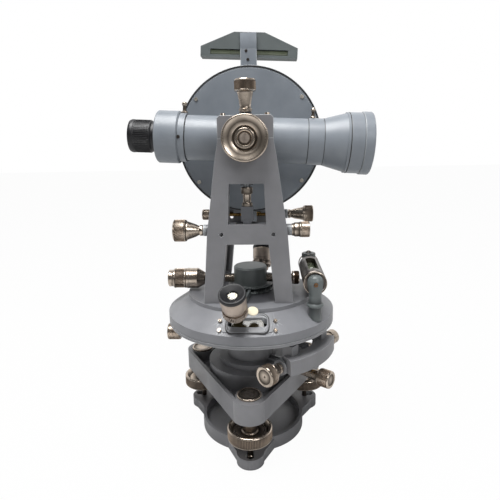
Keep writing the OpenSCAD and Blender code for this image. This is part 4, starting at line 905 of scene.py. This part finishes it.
fasten("plate_level_pivot", [((level_x, -47.6, 148.6), (0, -1, 0.05))], 1.9, 1.0, browned,
       "alidade", "green_paint", seed=9)
softened("plate_level_barrel", "plate_level_tube", 0.3, dark_nickel, "alidade", "nickel", level_axle)
collars = Piece("plate_level_collars")
for start in (-42.9, 21.6):
    collars.turned([(8.9, start), (9.45, start + 0.2), (9.48, start + 2.8), (8.9, start + 3.1)], nickel,
                   level_line, ease=0.1)
collars.done("alidade", "nickel")
spirit = clouded("level_spirit", 70, 2, linear(132, 138, 118), linear(104, 112, 90), 0.05, 0.06,
                 Specular_IOR_Level=0.8)
air = clouded("level_bubble", 90, 2, linear(206, 212, 200), linear(176, 184, 168), 0.05, 0.04,
              Specular_IOR_Level=1.0)


def vial(name, node, body, at, radius, low, high, bubble, axis_up):
    """A ground vial: spirit, its bubble against the top, and division lines."""
    piece = Piece(name)
    middle = (low + high) / 2
    piece.turned([
        (0, low), (radius - 1, low), (radius - 0.15, low + 1), (radius - 0.05, middle),
        (radius - 0.15, high - 1), (radius - 1, high), (0, high)], spirit, at, steps=48)
    shape = bmesh.new()
    bmesh.ops.create_uvsphere(shape, u_segments=24, v_segments=14, radius=1)
    wide, deep, raised = 0.5 * radius, 0.42 * radius, 0.62 * radius
    bmesh.ops.scale(shape, vec=(wide * MM, deep * MM, bubble * MM), verts=shape.verts)
    lift = Matrix.Translation(Vector(axis_up) * (raised * MM))
    piece.add(settled(shape, "bubble"), air, lift @ at @ Matrix.Translation((0, 0, middle * MM)))
    for face in piece.mesh.faces:
        face.smooth = True
    line_depth, line_width, pitch = 0.02, 0.22, 1.8
    for side in (-1, 1):
        for k in range(5):
            z = middle + side * (bubble + 1.2 + pitch * k)
            if low + 2 < z < high - 2:
                inner, outer = radius - line_depth, radius + line_depth
                piece.turned([(inner, z), (outer, z), (outer, z + line_width), (inner, z + line_width)],
                             filling, at, steps=48, ease=0)
    piece.done(body, "glass", node)


vial("plate_level_vial_filled", "plate_level_vial", "alidade", level_line, 5.0, -34.6, 11.4, 6.2, UP)
capstan_seat = seat((level_x, 22.4, level_height), UP)
spun("plate_level_capstan", "alidade", "green_paint", dark_nickel, capstan_seat, [
    (3.05, 5.6), (6.0, 5.6), (6.42, 6.2), (6.1, 6.8), (6.1, 9.6), (6.42, 10.0), (5.9, 10.4), (3.0, 10.4),
    (2.4, 11.6), (1.2, 12.5), (0, 12.6)],
    rim=(6.1, 6.8, 9.6, 44, 0.45), grip=dark_nickel, steps=64, ease=0.1)


# Upper slow motion: a dark cast shoe that slides on the lower plate's rim. Its own plated
# screw clamps it, and the tangent screw in the alidade's bracket pushes it.
softened("upper_bracket", "upper_tangent_bracket", 0.4, grey_enamel, "alidade", "grey_paint")
softened("upper_shoe", "upper_clamp_shoe", 0.35, dark_enamel, "upper_clamp_shoe", "dark_paint")
spun("upper_clamp_turned", "upper_clamp_screw", "nickel", nickel, radial(86, 104.6), [
    (0, 74.2), (2.6, 74.2), (2.6, 80.7), (4.0, 80.7), (3.2, 83.1), (4.6, 85.3), (6.2, 85.3), (6.8, 85.9),
    (6.5, 86.5), (6.5, 92.2), (6.8, 92.8), (6.2, 93.3), (4.8, 93.3), (4.4, 92.9), (0, 92.9)],
    "upper_clamp_screw", rim=(6.5, 86.5, 92.2, 44, 0.5))
upper_low = around(81, 122, 105.6)
upper_way = around(1, 212)
tangent_head("upper_tangent", seat(upper_low, -Vector(upper_way)), 7.0, 20.8, 28.4, 37.4, 35.6, 44)
pins("upper_tangent", seat(upper_low, upper_way), 26, 33)


# Magnifiers: a green ring turns round the boss, and each of its two arms carries a tilted
# plated barrel with a black moulded cup and a ground lens. The near one has a cream card
# on a pin, which throws light on the vernier.
def moulding():
    """Black moulded plastic with a fine grain and dusty edges."""
    resin = Finish("black_moulding", Specular_IOR_Level=0.5)
    grain = resin.noise(1300, 3, 0.7)
    dust = resin.noise(150, 5, 0.65)
    dusty = resin.mask(dust, 0.6, 1.1)
    resin.feed("Base Color", resin.blend(dusty, linear(15, 15, 19), linear(70, 70, 72)))
    resin.feed("Roughness", grain * 0.2 + dust * 0.15 + 0.26)
    resin.bump(grain, 0.00005, 0.6)
    return resin.material


black = moulding()
matt_nickel = plated("matt_nickel", linear(196, 182, 170), 0.4)
cream = clouded("cream_card", 300, 4, linear(232, 224, 200), linear(206, 196, 168), 0.2, 0.6)
arm_end, magnifier_circle = 55.0, 63.5
magnifier_turn, magnifier_lean = -7, 30
softened("magnifier_ring", "magnifier_carrier", 0.35, green_enamel, "magnifiers", "green_paint",
         second=(matt_nickel, lambda spot: math.hypot(spot.x, spot.y) > arm_end))
cups = Piece("magnifier_cups_moulded")
lenses = Piece("magnifier_lenses_ground")
barrels = Piece("magnifier_barrels_turned")
for turn in (0, 180):
    foot = Vector((0, -magnifier_circle, cone_height(magnifier_circle))) * MM
    at = (Matrix.Rotation(math.radians(turn + magnifier_turn), 4, "Z") @ Matrix.Translation(foot)
          @ Matrix.Rotation(math.radians(magnifier_lean), 4, "X"))
    cups.turned([
        (7.42, 31.3), (9.8, 31.3), (10.4, 32.0), (10.4, 34.0), (10.0, 34.8), (9.2, 35), (8.2, 34.5),
        (4.6, 33.0), (3.9, 32.6), (3.9, 31.4), (7.2, 30.8), (7.42, 30.9)], black, at)
    lenses.turned([(0, 30.9), (3.85, 31.3), (3.85, 31.9), (2.6, 32.3), (0, 32.5)], vial_glass, at,
                  steps=64, ease=0)
    lenses.turned([(0, 30.3), (3.8, 30.3), (3.8, 30.7), (0, 30.7)], matt_nickel, at, steps=64, ease=0)
    barrels.turned([
        (5.6, 9.0), (6.9, 9.0), (7.3, 9.6), (7.5, 12.8), (8.0, 13.4), (8.8, 19.0), (9.2, 19.6),
        (9.2, 20.6), (9.5, 21.2), (10.0, 29.0), (10.0, 30.6), (9.7, 31.2), (7.42, 31.2), (7.42, 26.2),
        (5.6, 26.2)], matt_nickel, at)
card = seat((4.4, -64.6, 133.2), (0.1, -0.5, 0.8))
arm = seat((-3.0, -66.4, 132.9), (1, 0.25, 0.02))
barrels.turned([(0, 0), (0.7, 0), (0.7, 5.2), (0, 5.2)], matt_nickel, arm, steps=24)
lenses.turned([(0, 0), (4.1, 0), (4.3, 0.3), (4.1, 0.8), (0, 0.9)], cream, card, steps=48)
cups.done("magnifiers", "black", "magnifier_cups")
barrels.done("magnifiers", "green_paint", "plate_magnifiers")
lenses.done("magnifiers", "glass", "magnifier_lenses")


# Vertical slow motion: a dark cast clamp ring on the trunnion, its tail held between a
# plated tangent screw and a spring box. A tall plated clamp screw stands on top, and a
# plated sleeve covers the rod in the front standard's window.
softened("vertical_clamp_cast", "vertical_clamp_arm", 0.4, dark_enamel, "vertical_clamp_arm", "dark_paint")
trunnion = 263.2
spun("vertical_clamp_turned", "vertical_clamp_screw", "nickel", nickel, seat((0, -31.2, trunnion), UP), [
    (0, 9.4), (2.4, 9.4), (2.4, 20), (4.6, 20), (4.9, 20.4), (5.3, 22.4), (4.6, 22.9), (4.4, 24.0),
    (4.6, 26.0), (5.4, 31), (6.2, 34.6), (6.2, 35.4), (7.6, 35.6), (8.4, 36.2), (8.0, 36.9), (8.0, 43.0),
    (8.4, 43.7), (7.8, 44.6), (6.2, 44.6), (5.6, 44.1), (0, 44.1)], "vertical_clamp_screw",
    rim=(8.0, 36.9, 43.0, 52, 0.6))
spun("vertical_clamp_sleeve", "vertical_clamp_arm", "dark_paint", nickel, seat((0, -32.2, 0), UP), [
    (0, 225.6), (4.4, 225.6), (4.6, 225), (4.6, 220.6), (4.1, 220), (3.3, 219.6), (3.2, 213.6),
    (4.0, 213), (4.2, 212.4), (4.2, 209.4), (3.7, 208.8), (0, 208.8)], steps=64)
slow_height = 191.4
vertical_low = (0, -35.9, slow_height)
clip_low = (0, 54.2, slow_height)
tangent_head("vertical_tangent", seat(vertical_low, (-1, 0, 0)), 9.2, 35.9, 49.1, 59.4, ribs=56)
pins("vertical_tangent", seat(vertical_low, (1, 0, 0)))
spring = Piece("spring_barrels_turned")
for radius, place in ((6.5, seat(vertical_low, (1, 0, 0))), (5.5, seat(clip_low, (-1, 0, 0)))):
    spring.turned([
        (2.15, 35.5), (radius - 1.6, 35.5), (radius - 1.4, 37.2), (radius - 0.8, 37.8),
        (radius - 0.8, 41.4), (radius - 0.2, 42.4), (radius - 0.5, 43.1), (radius - 0.5, 48.6),
        (radius - 0.2, 49.2), (radius - 0.9, 49.8), (0, 49.7), (0, 47.5), (2.15, 47.5)], nickel, place,
        steps=72)
    spring.ribbed(radius - 0.5, 43.1, 48.6, knurled, place, ribs=44, height=0.45)
spring.done("alidade", "nickel", "spring_boxes")


# Circle cover and index frame: a spun cover screwed to a cast plate that hangs on the
# trunnion, both under blue-grey enamel. The clip screw steadies them, and the post above
# carries the altitude level. The silvered circle and its verniers are inside.
blue_enamel = enamel("blue_enamel", (133, 139, 146))
softened("index_frame_cast", "index_frame", 0.5, blue_enamel, "index_frame", "grey_paint")
softened("circle_cover_spun", "circle_cover", 0.3, blue_enamel, "index_frame", "grey_paint",
         ((0, 0, trunnion), (0, 1, 0)))
cover_spots = []
for turn in (38, 142, 218, 322):
    x, z, y = around(60.6, turn, 28.5)
    cover_spots.append(((x, y, trunnion + z), NEAR))
bright = plated("bright_screws", linear(222, 216, 206), 0.36)
fasten("circle_cover_screws", cover_spots, 1.9, 0.9, bright, "index_frame", "grey_paint", seed=11)
# a dark ring at the cover's rim is painted shade along its turned edge
spun("circle_cover_groove", "index_frame", "grey_paint", filling, seat((0, 28.4, trunnion), NEAR), [
    (64.2, -0.2), (65.3, -0.2), (65.3, 0.06), (64.2, 0.06)], steps=144, ease=0)
head_size, head_middle = (15, 3.5, 16), Vector((0, 43.02, 351))
head = bmesh.new()
bmesh.ops.create_cube(head, size=MM)
bmesh.ops.scale(head, vec=head_size, verts=head.verts)
bmesh.ops.translate(head, vec=head_middle * MM, verts=head.verts)
bmesh.ops.bevel(head, geom=head.edges[:], offset=0.4 * MM, segments=2, profile=0.5, affect="EDGES")
Piece("index_post_head").add(settled(head, "post_head"), blue_enamel).done("index_frame", "grey_paint")
clip_line = seat(clip_low, (1, 0, 0))
tangent_head("clip", clip_line, 8.4, 35.9, 51.3, 60.6, ribs=50)
pins("clip", clip_line)
for node, body in (("vertical_circle", "telescope"), ("vertical_verniers", "index_frame")):
    softened(node + "_silvered", node, 0.15, silvered, body, "silvered")
face_near = Matrix.Rotation(math.radians(90), 4, "X")
upright = Matrix.Translation((0, 32.72 * MM, trunnion * MM)) @ face_near
circle_scale = Piece("vertical_circle_lines")
circle_scale.add(scale_part(720, 57.8, 1.5, half_degree, 3), filling, upright)
circle_scale.done("telescope", "silvered")
vernier_scale = Piece("vertical_vernier_lines")
for turn in (0, 180):
    vernier_scale.add(scale_part(31, 58.4, 1.5, vernier_step, turn - vernier_half, -1.0), filling, upright)
vernier_scale.done("index_frame", "silvered")


# Altitude level: a green cast case on the post's head, with a long slot over its ground
# vial. A pivot screw and an adjusting screw hold it.
softened("altitude_case_cast", "altitude_level_case", 0.7, green_enamel, "index_frame", "green_paint")
tilt = Matrix.Translation((0, 44.8 * MM, 338.2 * MM)) @ Matrix.Rotation(math.radians(3), 4, "Y")
along = tilt @ Matrix.Translation((0, 4.4 * MM, 4.6 * MM)) @ Matrix.Rotation(math.radians(90), 4, "Y")
vial("altitude_vial_filled", "altitude_level_vial", "index_frame", along, 3.0, -38.7, 38.7, 9.0,
     (0, -0.75, 0.66))
fasten("altitude_pivot_screw", [((-2.2, 41.25, 343.4), NEAR), ((-0.6, 41.25, 335.8), NEAR)], 1.4, 0.7,
       dark_nickel, "index_frame", "grey_paint", seed=4)


# Telescope: a turned brass tube under blue-grey enamel, with a collar behind and a cone in
# front, pinned to its steel trunnion stubs. Open sights stand on top, and the moulded
# eyepiece ring turns the steel cell.
slope = 3  # degrees by which the objective points down at rest
sight_line = Vector((math.cos(math.radians(-slope)), 0, math.sin(math.radians(-slope))))
tube_axle = ((0, 0, trunnion), sight_line)
tube_line = seat(*tube_axle)
for node, width in (("telescope_tube", 0.35), ("objective_mount", 0.3)):
    softened(node + "_turned", node, width, blue_enamel, "telescope", "grey_paint", tube_axle)
seams = Piece("telescope_seams")
for spot, radius in ((-57.5, 20.34), (-51.5, 18.94), (50.1, 18.95), (63.2, 19.44), (83.6, 25.22)):
    seams.turned([
        (radius - 0.3, spot - 0.35), (radius + 0.05, spot - 0.35), (radius + 0.05, spot + 0.35),
        (radius - 0.3, spot + 0.35)], filling, tube_line, ease=0)
seams.done("telescope", "grey_paint")
fasten("telescope_collar_screw", [((-56.0, -20.1, 266.2), NEAR)], 1.6, 0.8, dark_nickel,
       "telescope", "grey_paint")
softened("trunnions", "trunnion_axle", 0.3, steel, "telescope", "steel")


def coated_glass():
    """The objective: clear, with a faint violet bloom at a slant."""
    pane = Finish("objective_glass", Base_Color=(0.92, 0.96, 0.98, 1), Transmission_Weight=1.0, IOR=1.52,
                  Coat_Weight=0.3, Coat_Roughness=0.05)
    dust = pane.noise(240, 5, 0.7)
    pane.feed("Roughness", pane.mask(dust, 0.5, 0.95) * 0.1 + 0.01)
    return pane.material


objective_glass = coated_glass()
spun("objective_ground", "telescope", "glass", objective_glass, tube_line, [
    (0, 86.6), (20.2, 88.2), (20.2, 91.6), (16, 92.6), (8, 93.3), (0, 93.5)], "objective_lens", ease=0)
sight = Piece("sights_turned")
fore_sight = [
    (0, 0), (2.6, 0), (2.5, 0.8), (1.4, 1.8), (1.2, 5.2), (1.8, 6.2), (1.7, 7.2), (0.7, 8.5), (0, 8.6)]
rear_sight = [
    (0, 0), (2.8, 0), (2.8, 1.2), (1.6, 1.8), (1.5, 5.4), (2.3, 7.0), (2.3, 8.2), (1.4, 8.9), (0, 9.0)]
for outline, spot, high in ((fore_sight, 54, 19.4), (rear_sight, -54.5, 20.3)):
    place = (Matrix.Translation((0, 0, trunnion * MM)) @ Matrix.Rotation(math.radians(slope), 4, "Y")
             @ Matrix.Translation((spot * MM, 0, high * MM)))
    sight.turned(outline, nickel, place, steps=40, ease=0.12)
sight.done("telescope", "nickel", "sights")
eye = Piece("eyepiece_ring_moulded")
at = seat((0, 0, trunnion), -sight_line)
eye.turned([
    (11.05, 77), (12.4, 77), (12.6, 77.4), (12.6, 81.0), (13.2, 81.8), (13.5, 82.6), (13.5, 95.6),
    (13.9, 96.4), (14.0, 98.6), (13.3, 100.4), (12.4, 100.7), (8.6, 100.7), (7.6, 99.6), (11.05, 98.9)],
    black, at)
eye.ribbed(13.5, 82.8, 95.4, black, at, ribs=60, height=0.6, share=0.55)
eye.done("eyepiece_ring", "black", "eyepiece_ring")
softened("eyepiece_cell_turned", "eyepiece_cell", 0.2, steel, "eyepiece_cell", "steel")


# Focusing knob: a dished, nickel-plated disc with a finely knurled rim, held by a slotted
# screw. Its pinion drives the brass cell inside the tube.
knob_line = Matrix.Translation((0, 0, trunnion * MM)) @ face_near
spun("focusing_knob_turned", "focusing_knob", "nickel", nickel, knob_line, [
    (0, 12.6), (4, 12.6), (4, 15.6), (3, 15.6), (3, 41.9), (16.9, 41.9), (17.8, 42.7), (17.4, 43.5),
    (17.4, 50.6), (17.9, 51.4), (17.4, 52.4), (16.6, 52.6), (15.8, 52.3), (12.4, 50.6), (9.4, 49.6),
    (9.0, 49.0), (8.4, 48.8), (8.0, 49.2), (7.8, 50.8), (7.3, 51.3), (5.7, 51.3), (5.3, 50.9),
    (4.9, 50.3), (0, 50.3)], "focusing_knob", rim=(17.4, 43.5, 50.6, 110, 0.5), steps=144)
fasten("focusing_knob_screw", [((0, -50.3, trunnion), NEAR)], 4.3, 1.4, matt_nickel,
       "focusing_knob", "nickel", seed=2)
softened("focusing_cell_brass", "focusing_cell", 0.2, brass, "focusing_cell", "brass")


# Floor, lights and camera: a white sweep that keeps a soft shadow, a broad lamp overhead,
# a weak one on the right, and the photograph's viewpoint.
floor_half = 6
floor_mesh = bpy.data.meshes.new("floor")
corners = [(x * floor_half, y * floor_half, 0) for x, y in ((-1, -1), (1, -1), (1, 1), (-1, 1))]
floor_mesh.from_pydata(corners, [], [(0, 1, 2, 3)])
floor = placed("floor", floor_mesh)
sweep = bpy.data.materials.new("white_sweep")
sweep.use_nodes = True
paper = Graph(sweep.node_tree)
rays = sweep.node_tree.nodes.new("ShaderNodeLightPath")
matt = sweep.node_tree.nodes["Principled BSDF"]
matt.inputs["Base Color"].default_value = (0.6, 0.6, 0.6, 1)
matt.inputs["Roughness"].default_value = 0.9
glow = paper.add("ShaderNodeEmission", inputs={"Color": (1, 1, 1, 1), "Strength": 1.0})
faced = Wire(paper, rays.outputs["Is Camera Ray"]) * 0.97
sheet = sweep.node_tree.nodes.new("ShaderNodeMixShader")
sweep.node_tree.links.new(faced.socket, sheet.inputs[0])
sweep.node_tree.links.new(matt.outputs[0], sheet.inputs[1])
sweep.node_tree.links.new(glow.socket, sheet.inputs[2])
sweep.node_tree.links.new(sheet.outputs[0], sweep.node_tree.nodes["Material Output"].inputs["Surface"])
floor_mesh.materials.append(sweep)

world = bpy.data.worlds.new("studio")
world.use_nodes = True
bpy.context.scene.world = world
sky = Graph(world.node_tree)
rays = world.node_tree.nodes.new("ShaderNodeLightPath")
camera_ray, glossy_ray, through_ray = (
    Wire(sky, rays.outputs[f"Is {kind} Ray"]) for kind in ("Camera", "Glossy", "Transmission"))
# Mirrors and glass see a tent that is bright behind and below. The camera sees white, and
# all else is lit by a dim even sky.
way = sky.add("ShaderNodeTexCoord")
height = sky.add("ShaderNodeSeparateXYZ", inputs={"Vector": way}, out="Z")
behind = sky.add("ShaderNodeSeparateXYZ", inputs={"Vector": way}, out="Y")
slant, front_glow, back_glow = 0.6, 0.10, 1.0
tent = sky.add("ShaderNodeMapRange", {"clamp": True}, {
    "Value": behind - height * slant, "From Min": -0.45, "From Max": 0.35,
    "To Min": front_glow, "To Max": back_glow})
mirrored = sky.calc("MAXIMUM", glossy_ray, through_ray)
ambient = 0.24
strength = mirrored * (tent - ambient) + camera_ray * (1 - ambient) + ambient
backdrop = world.node_tree.nodes["Background"]
backdrop.inputs["Color"].default_value = (1, 1, 1, 1)
world.node_tree.links.new(strength.socket, backdrop.inputs["Strength"])


def lamp(name, place, size, power):
    """A round lamp that looks at the object's middle; metres and watts."""
    middle = Vector((0, 0, 0.2))
    light = bpy.data.lights.new(name, "AREA")
    light.shape = "DISK"
    light.size = size
    light.energy = power
    holder = placed(name, light)
    holder.location = place
    holder.rotation_euler = (middle - Vector(place)).to_track_quat("-Z", "Y").to_euler()


lamp("overhead", (-0.18, -0.26, 1.38), 0.9, 25)
lamp("right", (0.7, -1.1, 0.9), 0.5, 4)

pitch, yaw, roll = math.radians(-10.75), math.radians(-2.75), math.radians(-1.09)
forward = Vector((math.sin(yaw) * math.cos(pitch), math.cos(yaw) * math.cos(pitch), math.sin(pitch)))
right = Vector((math.cos(yaw), -math.sin(yaw), 0))
up = right.cross(forward)
across = math.cos(roll) * right + math.sin(roll) * up
upward = -math.sin(roll) * right + math.cos(roll) * up
lens = bpy.data.cameras.new("camera")
lens.lens = 32.03
lens.sensor_width = 36
lens.shift_y = -0.030
lens.clip_start = 0.01
camera = placed("camera", lens)
viewpoint = (0.018855, -0.387513, 0.254043)
turned = Matrix((across, upward, -forward)).transposed().to_4x4()
camera.matrix_world = Matrix.Translation(viewpoint) @ turned
bpy.context.scene.camera = camera
bpy.context.scene.view_settings.view_transform = "Standard"
